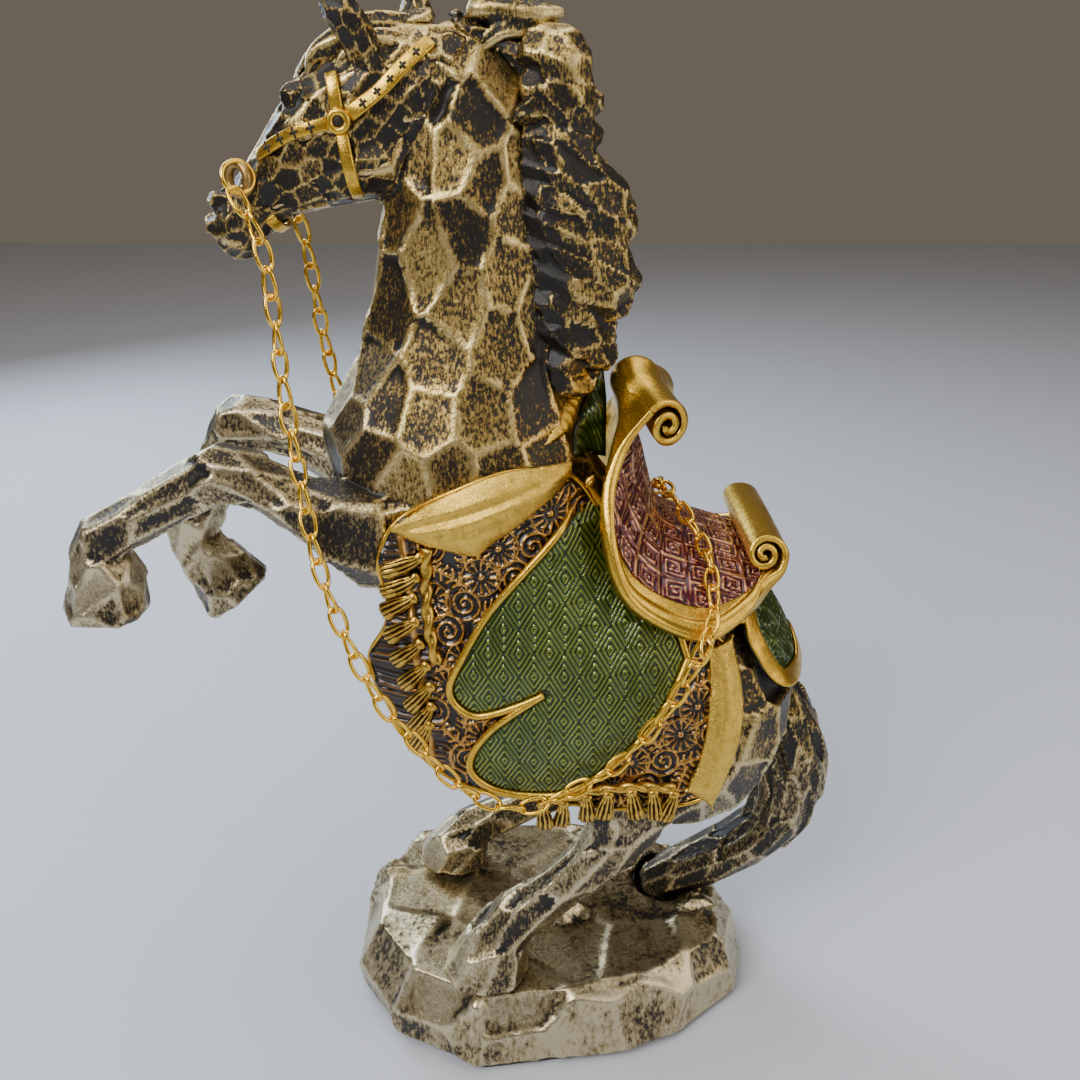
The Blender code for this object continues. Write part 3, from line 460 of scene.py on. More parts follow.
class Ground:
    """The smoothed outer surface of some CAD nodes, as seen through a view."""

    def __init__(self, view, nodes, u_range, v_range, step=1.0, rounds=4):
        self.view, self.step = view, step
        self.low = np.array([u_range[0], v_range[0]], dtype=float)
        shape = [int((high - low) / step) + 1 for low, high in (u_range, v_range)]
        form = joined("ground", copies(nodes))
        tree = BVHTree.FromObject(form, bpy.context.evaluated_depsgraph_get())
        i, j = np.meshgrid(np.arange(shape[0]), np.arange(shape[1]), indexing="ij")
        spots = self.low + np.stack([i.ravel(), j.ravel()], 1) * step
        hits = [tree.ray_cast(Vector(s) * MM, Vector(w)) for s, w in zip(*view.rays(spots))]
        depth = np.array([np.nan if hit[0] is None else hit[3] / MM for hit in hits])
        bpy.data.objects.remove(form, do_unlink=True)
        self.depth = self.filled(depth.reshape(shape), rounds)

    @staticmethod
    def filled(depth, rounds):
        """Spreads the depths into the gaps, then smooths them."""
        for _ in range(200):
            holes = np.isnan(depth)
            if not holes.any():
                break
            padded = np.pad(depth, 1, constant_values=np.nan)
            near = np.stack([padded[1:-1, 2:], padded[1:-1, :-2], padded[2:, 1:-1], padded[:-2, 1:-1]])
            known = ~np.isnan(near)
            total = np.where(known, near, 0).sum(0)
            count = known.sum(0)
            grow = holes & (count > 0)
            depth = depth.copy()
            depth[grow] = total[grow] / count[grow]
        for _ in range(rounds):
            padded = np.pad(depth, 1, mode="edge")
            depth = (
                padded[1:-1, 1:-1] * 2
                + padded[1:-1, 2:]
                + padded[1:-1, :-2]
                + padded[2:, 1:-1]
                + padded[:-2, 1:-1]
            ) / 6
        return depth

    def depth_at(self, flat):
        spot = (flat - self.low) / self.step
        spot = np.clip(spot, 0, np.array(self.depth.shape) - 1.001)
        i, j = spot[:, 0].astype(int), spot[:, 1].astype(int)
        a, b = spot[:, 0] - i, spot[:, 1] - j
        d = self.depth
        return (
            d[i, j] * (1 - a) * (1 - b)
            + d[i + 1, j] * a * (1 - b)
            + d[i, j + 1] * (1 - a) * b
            + d[i + 1, j + 1] * a * b
        )

    def place(self, flat, lift=0.0):
        """Points on the surface, and lifted off it along its normals."""
        flat = np.asarray(flat, dtype=float)

        def on(shifted):
            starts, ways = self.view.rays(shifted)
            return starts + ways * self.depth_at(shifted)[:, None]

        here = on(flat)
        one = on(flat + (0.7, 0)) - on(flat - (0.7, 0))
        two = on(flat + (0, 0.7)) - on(flat - (0, 0.7))
        normal = np.cross(one, two)
        normal /= np.linalg.norm(normal, axis=1)[:, None]
        towards = self.view.rays(flat)[1]
        normal[np.einsum("ij,ij->i", normal, towards) > 0] *= -1
        return here + normal * np.reshape(lift, (-1, 1))


def inside(points, outline):
    result = np.zeros(len(points), dtype=bool)
    x, y = points[:, 0], points[:, 1]
    for (x0, y0), (x1, y1) in zip(outline, np.roll(outline, -1, axis=0)):
        if y0 == y1:
            continue
        crosses = ((y0 > y) != (y1 > y)) & (x < x0 + (y - y0) * (x1 - x0) / (y1 - y0))
        result ^= crosses
    return result


def nearest_on(points, line):
    """Each point's distance to a closed line, and its nearest point there."""
    ends = np.roll(line, -1, axis=0)
    lengths = np.linalg.norm(ends - line, axis=1)
    best = np.full(len(points), 1e9)
    spot = np.zeros_like(points)
    for start, end, length in zip(line, ends, lengths):
        if length < 1e-6:
            continue
        t = np.clip((points - start) @ (end - start) / length**2, 0, 1)
        here = start + t[:, None] * (end - start)
        gap = np.linalg.norm(points - here, axis=1)
        closer = gap < best
        best[closer], spot[closer] = gap[closer], here[closer]
    return best, spot


def relief_patch(name, ground, outline, step, height, material, base=0.0, skirt=0.9):
    """A raised piece on a ground. height(flat, edge) gives its lift and its brightness."""
    outline = np.asarray(outline, dtype=float)
    low, high = outline.min(0) - step, outline.max(0) + step
    count = np.ceil((high - low) / step).astype(int) + 1
    u, v = np.meshgrid(np.arange(count[0]), np.arange(count[1]), indexing="ij")
    flat = low + np.stack([u.ravel(), v.ravel()], 1) * step
    edge, spot = nearest_on(flat, outline)
    within = inside(flat, outline)
    snap = edge < 0.55 * step
    keep = within | snap
    flat[snap] = spot[snap]
    edge[~within | snap] = 0
    number = np.full(len(flat), -1)
    number[keep] = np.arange(keep.sum())
    grid = number.reshape(count)
    corners = np.stack([grid[:-1, :-1], grid[1:, :-1], grid[1:, 1:], grid[:-1, 1:]], -1)
    quads = corners.reshape(-1, 4)
    quads = quads[(quads >= 0).all(1)]
    flat, edge = flat[keep], edge[keep]
    lift, bright = height(flat, edge)
    top = ground.place(flat, base + lift)
    bottom = ground.place(flat, np.full(len(flat), base - skirt))
    sides = dict.fromkeys(
        pair for a, b, c, d in quads.tolist() for pair in ((a, b), (b, c), (c, d), (d, a))
    )
    size = len(flat)
    walls = [(a, a + size, b + size, b) for a, b in sides if (b, a) not in sides]
    faces = [tuple(q) for q in quads.tolist()]
    faces += [tuple(q + size for q in quad[::-1]) for quad in quads.tolist()] + walls
    obj = add_object(name, np.vstack([top, bottom]), faces, material)
    paint(obj, "worn", np.concatenate([bright, np.zeros(size)]))
    bm = bmesh.new()
    bm.from_mesh(obj.data)
    loose = [v for v in bm.verts if not v.link_faces]
    bmesh.ops.delete(bm, geom=loose, context="VERTS")
    bmesh.ops.recalc_face_normals(bm, faces=bm.faces)
    bm.to_mesh(obj.data)
    bm.free()
    return obj


def band(width, thick):
    """A strap's section: flat with soft corners."""
    turn = all_round(16)
    across = np.sign(np.cos(turn)) * np.abs(np.cos(turn)) ** 0.35
    out = np.sign(np.sin(turn)) * np.abs(np.sin(turn)) ** 0.7
    return np.stack([width / 2 * across, thick / 2 * out], 1)


def laid(name, ground, line, section, lift, material, closed=True):
    """A cord or strap of one section, lying along a line on a ground."""
    line = np.asarray(line, dtype=float)
    if closed:
        line = np.vstack([line, line[:1]])
    flat = evenly(line, 0.8)
    if closed:
        flat = flat[:-1]
    spots = ground.place(flat, lift)
    outward = ground.place(flat, lift + 1.0) - spots
    return sweep(name, spots, lambda k, n: section, outward, material, closed)


# ---------------------------------------------------------------- patterns


def diamonds(flat, width, height, lines):
    """Rows of upright nested diamonds: 1 on a line, 0 between."""
    a = np.abs(flat[:, 0] / width - np.round(flat[:, 0] / width)) * 2
    b = np.abs(flat[:, 1] / height - np.round(flat[:, 1] / height)) * 2
    ring = np.where(a + b > 1, 2 - a - b, a + b)
    return smoothstep(0.25, 0.8, 0.5 + 0.5 * np.cos(2 * math.pi * (ring * lines + 0.5)))


def keys(flat, tile, turns):
    """Square spirals in square tiles: 1 on a line, 0 between."""
    local = (flat / tile - np.floor(flat / tile) - 0.5) * 2
    hand = np.where((np.floor(flat / tile).sum(1) % 2) > 0, 1, -1)
    reach = np.abs(local).max(1)
    angle = np.arctan2(local[:, 1] * hand, local[:, 0]) / (2 * math.pi)
    wave = 0.5 + 0.5 * np.cos(2 * math.pi * (reach * turns - angle))
    return np.maximum(smoothstep(0.45, 0.85, wave), smoothstep(0.93, 0.98, reach))


def scrolls(flat, pitch):
    """Filigree: scrolls, daisies and feathers set close on a staggered grid."""
    relief = np.zeros(len(flat))
    low, high = flat.min(0), flat.max(0)
    rows = int((high[1] - low[1]) / (pitch * 0.86)) + 2
    columns = int((high[0] - low[0]) / pitch) + 2
    for row in range(rows):
        for column in range(columns):
            kind = (row * 2 + column) % 3
            centre = low + np.array([(column + 0.5 * (row % 2)) * pitch, row * pitch * 0.86])
            step = flat - centre
            reach = np.hypot(step[:, 0], step[:, 1])
            near = reach < pitch * 0.62
            turn = np.arctan2(step[near, 1], step[near, 0])
            far = reach[near] / (pitch * 0.62)
            if kind == 0:
                petals = smoothstep(0.0, 0.7, np.cos(12 * turn)) * smoothstep(0.26, 0.36, far)
                hoop = np.exp(-(((far - 0.92) / 0.06) ** 2))
                shape = np.maximum(petals * (far < 0.84), smoothstep(0.2, 0.12, far))
                shape = np.maximum(shape, hoop)
            elif kind == 1:
                hand = 1 if row % 2 else -1
                arm = np.cos(hand * turn - 2 * math.pi * far * 2.8)
                shape = smoothstep(0.1, 0.75, arm) * (far < 0.97)
            else:
                lean = turn + 0.9 + row
                spine = np.abs(np.sin(lean)) * far
                barbs = smoothstep(-0.3, 0.4, np.cos(18 * (far * np.abs(np.cos(lean)) + 0.5 * spine)))
                shape = np.where(spine < 0.09, 1.0, barbs * (spine < 0.45)) * (far < 0.95)
            relief[near] = np.maximum(relief[near], shape)
    return relief


# ---------------------------------------------------------------- materials


class Paint:
    """Builds one material's nodes. Every method returns a socket that another can take."""

    def __init__(self, name, coat=0.0):
        self.material = bpy.data.materials.new(name)
        self.material.use_nodes = True
        self.tree = self.material.node_tree
        self.shader = self.tree.nodes["Principled BSDF"]
        self.shader.inputs["IOR"].default_value = 1.5
        self.shader.inputs["Coat Weight"].default_value = coat
        self.shader.inputs["Coat Roughness"].default_value = 0.12
        self.place = self.node("ShaderNodeTexCoord").outputs["Object"]

    def node(self, kind, **settings):
        node = self.tree.nodes.new(kind)
        for name, value in settings.items():
            setattr(node, name, value)
        return node

    def feed(self, socket, value):
        if isinstance(value, bpy.types.NodeSocket):
            self.tree.links.new(value, socket)
        elif isinstance(value, tuple):
            socket.default_value = (*value, 1)
        else:
            socket.default_value = value

    def noise(self, size_mm, detail=3.0, squash=(1, 1, 1), rough=0.6):
        """Cloudy spots of about that size, squashed along the axes."""
        scaled = self.node("ShaderNodeVectorMath", operation="MULTIPLY")
        self.feed(scaled.inputs[0], self.place)
        scaled.inputs[1].default_value = squash
        noise = self.node("ShaderNodeTexNoise")
        self.feed(noise.inputs["Vector"], scaled.outputs[0])
        noise.inputs["Scale"].default_value = 1 / (size_mm * MM)
        noise.inputs["Detail"].default_value = detail
        noise.inputs["Roughness"].default_value = rough
        return noise.outputs["Fac"]

    def stored(self, name):
        return self.node("ShaderNodeAttribute", attribute_name=name).outputs["Fac"]

    def sum(self, *terms):
        """The sum of (socket, factor) pairs and plain numbers."""
        total = 0.0
        for term in terms:
            socket, factor = term if isinstance(term, tuple) else (term, 1.0)
            step = self.node("ShaderNodeMath", operation="MULTIPLY_ADD")
            self.feed(step.inputs[0], socket)
            step.inputs[1].default_value = factor
            self.feed(step.inputs[2], total)
            total = step.outputs[0]
        return total

    def times(self, one, two):
        step = self.node("ShaderNodeMath", operation="MULTIPLY")
        self.feed(step.inputs[0], one)
        self.feed(step.inputs[1], two)
        return step.outputs[0]

    def ramp(self, value, *stops):
        """Maps a number to colours, or to numbers, by (place, colour) stops."""
        ramp = self.node("ShaderNodeValToRGB")
        self.feed(ramp.inputs["Fac"], value)
        elements = ramp.color_ramp.elements
        while len(elements) < len(stops):
            elements.new(0.5)
        for element, (place, colour) in zip(elements, stops):
            element.position = place
            if not isinstance(colour, tuple):
                colour = (colour, colour, colour)
            element.color = (*colour, 1)
        return ramp.outputs["Color"]

    def blend(self, one, two, by):
        """Colour one where by is 0, and colour two where it is 1."""
        mix = self.node("ShaderNodeMix", data_type="RGBA")
        self.feed(mix.inputs[0], by)
        self.feed(mix.inputs[6], one)
        self.feed(mix.inputs[7], two)
        return mix.outputs[2]

    def finish(self, colour, metal, rough, bumps=()):
        """bumps are (height socket, depth in millimetres) pairs."""
        self.feed(self.shader.inputs["Base Color"], colour)
        self.feed(self.shader.inputs["Metallic"], metal)
        self.feed(self.shader.inputs["Roughness"], rough)
        normal = None
        for height, depth in bumps:
            bump = self.node("ShaderNodeBump")
            bump.inputs["Strength"].default_value = 1.0
            bump.inputs["Distance"].default_value = depth * MM
            self.feed(bump.inputs["Height"], height)
            if normal:
                self.feed(bump.inputs["Normal"], normal)
            normal = bump.outputs["Normal"]
        if normal:
            self.feed(self.shader.inputs["Normal"], normal)
        return self.material


def patina(name, cover=0.0, grain_mm=0.62, ridges=0.85, patch_mm=4.5, patches_by=0.45):
    """Dark bronze rubbed with champagne or pewter leaf: bright on ridges, speckled in hollows."""
    p = Paint(name)
    speck = p.noise(grain_mm, 5.0, (1, 1, 0.5), 0.72)
    patches = p.noise(patch_mm, 3.0, (1, 1, 0.55))
    drift = p.noise(20.0, 2.0)
    leaf = p.sum(
        (p.stored("worn"), ridges),
        (p.stored("sunk"), -0.25),
        (p.stored("tone"), 0.34),
        (speck, 2.1),
        (patches, patches_by),
        (drift, 0.5),
        cover - 1.27,
    )
    gold = p.ramp(
        leaf,
        (0.28, (0.01, 0.008, 0.006)),
        (0.42, (0.045, 0.031, 0.014)),
        (0.52, (0.27, 0.172, 0.048)),
        (0.68, (0.48, 0.34, 0.112)),
        (1.0, (0.72, 0.565, 0.255)),
    )
    pewter = p.ramp(
        leaf,
        (0.28, (0.01, 0.009, 0.008)),
        (0.42, (0.04, 0.034, 0.025)),
        (0.52, (0.2, 0.16, 0.095)),
        (0.68, (0.35, 0.295, 0.19)),
        (1.0, (0.56, 0.505, 0.37)),
    )
    colour = p.blend(gold, pewter, p.stored("silver"))
    metal = p.ramp(leaf, (0.3, 0.3), (0.52, 0.95))
    rough = p.ramp(leaf, (0.3, 0.34), (0.5, 0.36), (0.9, 0.25))
    return p.finish(colour, metal, rough, [(p.noise(0.35, 4.0), 0.03), (leaf, 0.06)])


def gold_paint(name, bright=(0.8, 0.5, 0.06), dark=(0.22, 0.1, 0.01), rough=0.24, grit=0.05):
    """Thick gold paint, brushed on and pooled smooth, with painted shade in the creases that the stored
    sunk marks.
    """
    p = Paint(name)
    mottle = p.noise(2.2, 5.0, rough=0.65)
    speck = p.noise(0.4, 4.0, rough=0.7)
    # painted shade: the stored sunk darkens the colour in the creases
    tone = p.sum((mottle, 0.9), (speck, 0.45), (p.stored("sunk"), -0.55), -0.03)
    middle = tuple((b + d * 0.6) / 1.6 for b, d in zip(bright, dark))
    colour = p.ramp(tone, (0.3, dark), (0.5, middle), (0.68, bright))
    sheen = p.ramp(tone, (0.3, rough + 0.16), (0.7, rough))
    return p.finish(colour, 0.96, sheen, [(mottle, 0.12), (speck, grit)])


def raised_paint(name, low, high, line, rough=(0.3, 0.22)):
    """A pattern's raised lines in one colour over a ground in another, by the stored height."""
    p = Paint(name, coat=0.5)
    speck = p.noise(0.5, 4.0)
    drift = p.noise(9.0, 3.0)
    tone = p.sum((p.stored("worn"), 1.0), (speck, 0.3), (drift, 0.35), -0.32)
    colour = p.ramp(tone, (0.08, low), (0.45, high), (0.85, line))
    metal = p.ramp(tone, (0.1, 0.3), (0.8, 0.85))
    sheen = p.ramp(tone, (0.1, rough[0]), (0.8, rough[1]))
    return p.finish(colour, metal, sheen, [(speck, 0.04)])


BRONZE = patina("bronze_patina", ridges=0.66)
HEAD_BRONZE = patina("head_patina", cover=-0.25, grain_mm=0.5, ridges=0.6)
HAIR_BRONZE = patina("hair_patina", cover=-0.12, ridges=0.6)
STONE = patina("rock_patina", cover=-0.24, grain_mm=1.1, ridges=0.45, patch_mm=8.0, patches_by=1.6)
GOLD = gold_paint("gold_paint")
SATIN = gold_paint("satin_gold", bright=(0.82, 0.54, 0.09), dark=(0.13, 0.055, 0.008), grit=0.14)
RIM = gold_paint("rim_gold", bright=(0.76, 0.45, 0.05), rough=0.2)
# painted shade: its near-black dark colour darkens the gaps between the fringe's threads
SHADED_FRINGE_GOLD = gold_paint("shaded_fringe_gold", bright=(0.7, 0.43, 0.07), dark=(0.03, 0.013, 0.004), rough=0.22)
DULL = gold_paint("bit_gold", bright=(0.42, 0.27, 0.09), dark=(0.14, 0.08, 0.03), rough=0.34)
BRASS = gold_paint("chain_gold", bright=(0.95, 0.6, 0.07), dark=(0.75, 0.4, 0.03), rough=0.12, grit=0.0)
GREEN = raised_paint("green_enamel", (0.007, 0.018, 0.0015), (0.05, 0.098, 0.007), (0.4, 0.43, 0.07))
CRIMSON = raised_paint("crimson_enamel", (0.035, 0.0015, 0.005), (0.17, 0.006, 0.021), (0.76, 0.43, 0.19))
FILIGREE = raised_paint(
    "filigree_paint", (0.004, 0.003, 0.003), (0.055, 0.021, 0.005), (0.55, 0.28, 0.05), rough=(0.35, 0.24)
)
DARK = Paint("dark_mark").finish((0.02, 0.014, 0.01), 0.2, 0.45)
STEEL = Paint("dowel_steel").finish((0.55, 0.55, 0.56), 1.0, 0.35)


def felt_cloth():
    p = Paint("black_felt")
    fuzz = p.noise(0.35, 5.0)
    p.shader.inputs["Sheen Weight"].default_value = 0.4
    return p.finish(p.ramp(fuzz, (0.3, (0.008,) * 3), (0.7, (0.03,) * 3)), 0.0, 0.95, [(fuzz, 0.25)])


FELT = felt_cloth()


def belongs(obj, *nodes, slot, body=BODY):
    """Puts a piece on its body, in place of its CAD nodes."""
    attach(obj, body)
    if nodes:
        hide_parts(*nodes)


# ---------------------------------------------------------------- reins


REIN_DIAMETER = 4.1
REIN_SWING = (
    (-60.9, -17.2, 208.9), (-57.1, -19, 201), (-55.5, -20.5, 188.3), (-54.3, -23, 172.5),
    (-52, -26.5, 156.4), (-48.4, -32, 137.9), (-42.7, -35, 120.5), (-35.9, -36.5, 106.2),
    (-28.6, -37, 96.2), (-21.1, -37, 86.9), (-13.4, -37, 81.5), (-4.3, -37, 80.1),
    (11.5, -37, 88.3), (20.1, -37, 97.5), (27.5, -37, 109), (32.2, -37, 119.5),
)
REIN_OVER_SEAT = (  # from the left edge of the seat over to its right edge
    (33.0, -37.2, 122.6), (34.4, -34.6, 126.2), (35.1, -30.7, 129.2), (35.2, -26.1, 131.9),
    (35.3, -21.5, 133.8), (34.8, -17.2, 135.4), (33.6, -13.0, 137.2), (32.1, -8.8, 139.1),
    (30.5, -4.5, 140.7), (29.0, -0.2, 141.9), (27.9, 4.3, 142.2), (27.1, 8.7, 141.8),
    (26.8, 12.9, 140.5), (27.0, 17.1, 138.5), (27.9, 21.2, 136.1), (29.6, 25.4, 133.9),
    (31.8, 29.9, 130.9), (34.0, 34.4, 126.3), (33.0, 37.2, 122.6),
)
LINK_LENGTH, LINK_WIRE, LINK_PITCH = 7.3, 0.95, 5.4
SEAT_REIN_DROP = 0.7  # how far the links lie below the middle of the CAD tube


def link(centre, way, up):
    """One long link of round wire, with a slight twist."""
    across = np.cross(way, up)
    across /= np.linalg.norm(across)
    out = np.cross(across, way)
    turn = all_round(26)
    half, reach = (REIN_DIAMETER - LINK_WIRE) / 2, (LINK_LENGTH - LINK_WIRE) / 2
    bow = np.sign(np.sin(turn)) * np.abs(np.sin(turn)) ** 0.8
    run = np.sign(np.cos(turn)) * np.abs(np.cos(turn)) ** 0.85
    lift = 0.28 * np.sin(2 * turn)
    line = centre + np.outer(run * reach, way) + np.outer(bow * half, across) + np.outer(lift, out)
    return sweep("link", line, lambda k, n: circle(LINK_WIRE / 2, 8), out, closed=True)


def build_rein(name, route, flat_way, body):
    """A run of links. flat_way is the way that its flat links face."""
    route = through(route, 12)
    spots = evenly(route, LINK_PITCH)
    made = []
    for k, (spot, way) in enumerate(zip(spots, along(spots))):
        level = np.cross(way, flat_way)
        level /= np.linalg.norm(level)
        other = np.cross(way, level)
        lean = math.radians(50 + (85 if k % 2 else 0) + random.uniform(-12, 12))
        made.append(link(spot, way, level * math.cos(lean) + other * math.sin(lean)))
    rein = joined(name + "_chain", made, BRASS)
    line = evenly(route, 1.5)
    length = np.linalg.norm(np.diff(line, axis=0), axis=1).sum()
    belongs(rein, name, body=body, slot="brass_chain")


def build_reins():
    for side, word in SIDES:
        route = [(x, y * -side, z) for x, y, z in REIN_SWING]
        build_rein(word + "_rein", route, (0, 1, 0), word + "_rein_run")
    route = [(x, y, z - SEAT_REIN_DROP) for x, y, z in REIN_OVER_SEAT]
    build_rein("seat_rein", route, (1, 0, 0), BODY)


# ---------------------------------------------------------------- horse


COAT_CASTINGS = ("torso", "neck", "left_foreleg", "right_foreleg", "left_hind_leg", "right_hind_leg")
HOOVES = (  # centre and half-sizes
    ((-101, -18, 128), (11, 10, 10)),
    ((-88, 18, 122), (10, 10, 10)),
    ((-20, -26, 28), (11, 9, 9)),
    ((-31, 17, 27), (11, 9, 9)),
)
MANE_ROOT = ((174, -2), (192, -2.2), (207, -4.4), (222, -6))  # z, then x where the mane leaves the neck
GROOVE_SHADE = 1.25  # how far the painted shade in the groove between the neck and the mane pulls the leaf's tone down
PEWTER = 0.7  # how far the leaf turns from gold to pewter on the legs, the tail and the rock


def groove(points):
    """How much painted shade darkens the groove between the neck and the mane: 1 in it, and 0 away from it.
    """
    heights, places = np.array(MANE_ROOT).T
    past = points[:, 0] - np.interp(points[:, 2], heights, places)
    near = smoothstep(-1.5, 0.3, past) * smoothstep(6.5, 4.0, past)
    return near * smoothstep(166, 172, points[:, 2]) * smoothstep(226, 214, points[:, 2])


def build_body():
    solids = copies(COAT_CASTINGS, swell=0.3) + copies(("head",), swell=-0.35)
    body = melted("body_carving", solids, voxel=0.8, smoothing=3, material=BRONZE)

    def size(points):
        legs = smoothstep(-44, -58, points[:, 0]) + smoothstep(78, 66, points[:, 2])
        throat = smoothstep(195, 215, points[:, 2])
        return 11.5 - 5.5 * np.clip(legs, 0, 1) - 3.0 * throat

    def leaf_and_shade(points):
        """Where the leaf covers all, on the hooves, and painted shade in the groove between the neck and
        the mane.
        """
        reach = [np.linalg.norm((points - hoof) / radii, axis=1) for hoof, radii in HOOVES]
        return 0.9 * smoothstep(1.15, 0.8, np.min(reach, axis=0)) - GROOVE_SHADE * groove(points)

    carve_facets(body, size, leaf_and_shade=leaf_and_shade)
    points = arrays(body)[0]
    forelegs = smoothstep(-28, -46, points[:, 0]) * smoothstep(178, 160, points[:, 2])
    paint(body, "silver", PEWTER * np.clip(forelegs + smoothstep(95, 70, points[:, 2]), 0, 1))
    belongs(body, *COAT_CASTINGS, slot="bronze")


HEAD_DETAILS = (  # centre, radii, lean; the ones with a Y are on both sides
    ((-49.8, 6.9, 227.4), (4.0, 2.8, 2.6), 30),
    ((-49.6, 9.0, 224.3), (2.3, 1.3, 1.6), 20),
    ((-68.4, 4.4, 207.6), (2.6, 1.8, 2.2), 40),
    ((-70, 0, 202.6), (3.2, 4.8, 2.6), 30),
    ((-65.6, 0, 198.4), (3.4, 3.8, 2.4), 20),
    ((-41, 8.6, 215), (6.5, 2.6, 6.0), 0),
)


def build_head():
    solids = copies(("head", "left_ear", "right_ear"), swell=0.15)
    for (x, y, z), radii, lean in HEAD_DETAILS:
        for side in (LEFT, RIGHT) if y else (RIGHT,):
            solids.append(blob((x, y * side, z), radii, lean))
    head = melted("head_carving", solids, voxel=0.42, smoothing=2, material=HEAD_BRONZE)
    carve_facets(head, facets(3.9), depth=0.2, ridge=0.3, hollow=0.15)
    belongs(head, "head", "left_ear", "right_ear", slot="bronze")


MANE_LUMPS = (  # tip x, tip z, root z, locks one above another, gap between them
    (10.6, 224.6, 234, 2, 6.0),
    (12.6, 214.0, 221, 1, 5.0),
    (18.4, 205.6, 214, 2, 5.0),
    (18.6, 192.4, 201, 3, 4.8),
    (15.2, 180.2, 187, 2, 5.0),
    (11.0, 171.8, 177, 1, 4.0),
)
TUFT_LOCKS = (  # routes, then width and thickness
    (((-17, -2, 240), (-11, -3, 245), (-4, -3.5, 244.8), (2.6, -3.2, 242.2)), 6.0, 6.5),
    (((-15, -3, 236), (-9, -4.5, 240), (-4, -4.5, 239.5), (-0.6, -3.6, 235.6)), 5.5, 5.5),
    (((-15, 3, 238), (-8, 3.5, 243), (-2, 3, 242.5), (1.5, 1.5, 240)), 5.5, 6.0),
)
FORELOCK_NEAR = (
    (-26, -1, 240.5), (-34, -3.5, 240), (-41.5, -5.2, 237.4), (-46.6, -6, 235.2), (-48, -6.4, 230.6)
)
FORELOCK_FAR = (
    (-26, 2, 240.5), (-34, 1.5, 240.4), (-42.5, 1.2, 237.8), (-48.2, 0.8, 234.6), (-50.2, 0.6, 229.6)
)
FORELOCK_LOCKS = (
    (FORELOCK_NEAR, 8.2, 5.4),
    (((-27, -4, 237), (-33, -6.8, 237.6), (-39.5, -8.2, 235.6), (-43, -8.8, 231)), 6.4, 4.6),
    (FORELOCK_FAR, 8.2, 5.4),
    (((-26, 4, 239), (-34, 5.5, 239), (-41, 6.6, 236.4), (-46, 7.6, 231.5)), 6.6, 4.8),
)
TAIL_STRANDS = 11
TAIL_LINE = (
    (56, 1, 91), (61, 2, 79.5), (64.5, 3, 66.5), (64, 4, 53.5), (59.5, 5, 43), (51, 6, 34.5), (41, 7, 27.5)
)
TAIL_GIRTH = ((5, 5), (7.5, 7.2), (8.2, 8.6), (8.2, 9.2), (7.4, 9.2), (6.4, 8.4), (5.2, 7.2))


MANE_ROWS = (-5.6, 0.0, 5.6)  # places across the crest


def mane_locks():
    """Thick locks that sweep off the crest in heaps, each with its tip turned up."""
    made = []
    for tip_x, tip_z, root_z, count, gap in MANE_LUMPS:
        for y in MANE_ROWS:
            for k in range(count):
                drop = ((count - 1) / 2 - k) * gap
                reach = tip_x - 0.8 * abs(k - (count - 1) / 2) - 0.16 * abs(y)
                reach += random.uniform(-1.3, 0.6)
                low = tip_z + 0.85 * drop + random.uniform(-0.8, 0.8)
                route = (
                    (-5, y * 0.9, root_z + 1.1 * drop),
                    (2, y * 1.25, root_z - 1.5 + drop),
                    (reach - 6, y * 1.2, (root_z + low + drop) / 2 - 2.5),
                    (reach - 2.2, y * 0.95, low - 1.6),
                    (reach - 0.8, y * 0.7, low + 1.2),
                )
                up = (0, math.copysign(1, y), 0.2)
                made.append(lock(route, 8.4, 6.6, up, blunt=0.42, lobes=3))
    return made


def tail_locks():
    """Long strands that lie along the tail, winding slightly round it."""
    middle = through(TAIL_LINE, 6)
    girth = through(TAIL_GIRTH, 6)
    way = along(middle)
    across = np.cross(way, (0, 1, 0))
    across /= np.linalg.norm(across, axis=1)[:, None]
    made = []
    wind, wave = np.linspace(0, 0.9, len(middle)), np.linspace(0, 5, len(middle))
    for strand in range(TAIL_STRANDS):
        turn = strand * 2 * math.pi / TAIL_STRANDS + wind + 0.25 * np.sin(wave + strand)
        sideways = np.array((0, 1.0, 0)) * (np.sin(turn)[:, None] * girth[:, 1:])
        out = across * np.cos(turn)[:, None] * girth[:, :1] + sideways
        line = middle + out * 0.82
        first = strand % 3
        last = len(line) - (strand * 5) % 9
        made.append(lock(line[first:last:3], 6.2, 5.0, (0.1, 1, 0.1), steps=4, grooves=0.26))
    return made


def build_hair():
    parts = (  # node, locks, voxel size, how far the casting under the locks is swelled
        ("mane", mane_locks(), 0.55, -1.8),
        ("poll_tuft", [lock(*row, (0, 1, 0)) for row in TUFT_LOCKS], 0.45, -0.3),
        ("forelock", [lock(*row, (0, 1, 0.3)) for row in FORELOCK_LOCKS], 0.4, -0.5),
        ("tail", tail_locks(), 0.6, -0.6),
    )
    flows = {
        "mane": drawn_along(((0, 0, 215), (17, 0, 205)), 2.6),
        "tail": drawn_along(TAIL_LINE, 3.2),
    }
    for node, locks, voxel, swell in parts:
        hair = melted(node + "_carving", copies((node,), swell) + locks, voxel, 2, HAIR_BRONZE)
        if node in flows:
            carve_facets(
                hair, facets(4.2), flows[node], depth=0.14, ridge=0.3, hollow=0.1,
                # painted shade darkens the groove between the neck and the mane
                leaf_and_shade=lambda points: -GROOVE_SHADE * groove(points),
            )
        else:
            wear_and_shade(hair)
        paint(hair, "silver", PEWTER * smoothstep(85, 60, arrays(hair)[0][:, 2]))
        belongs(hair, node, slot="bronze")


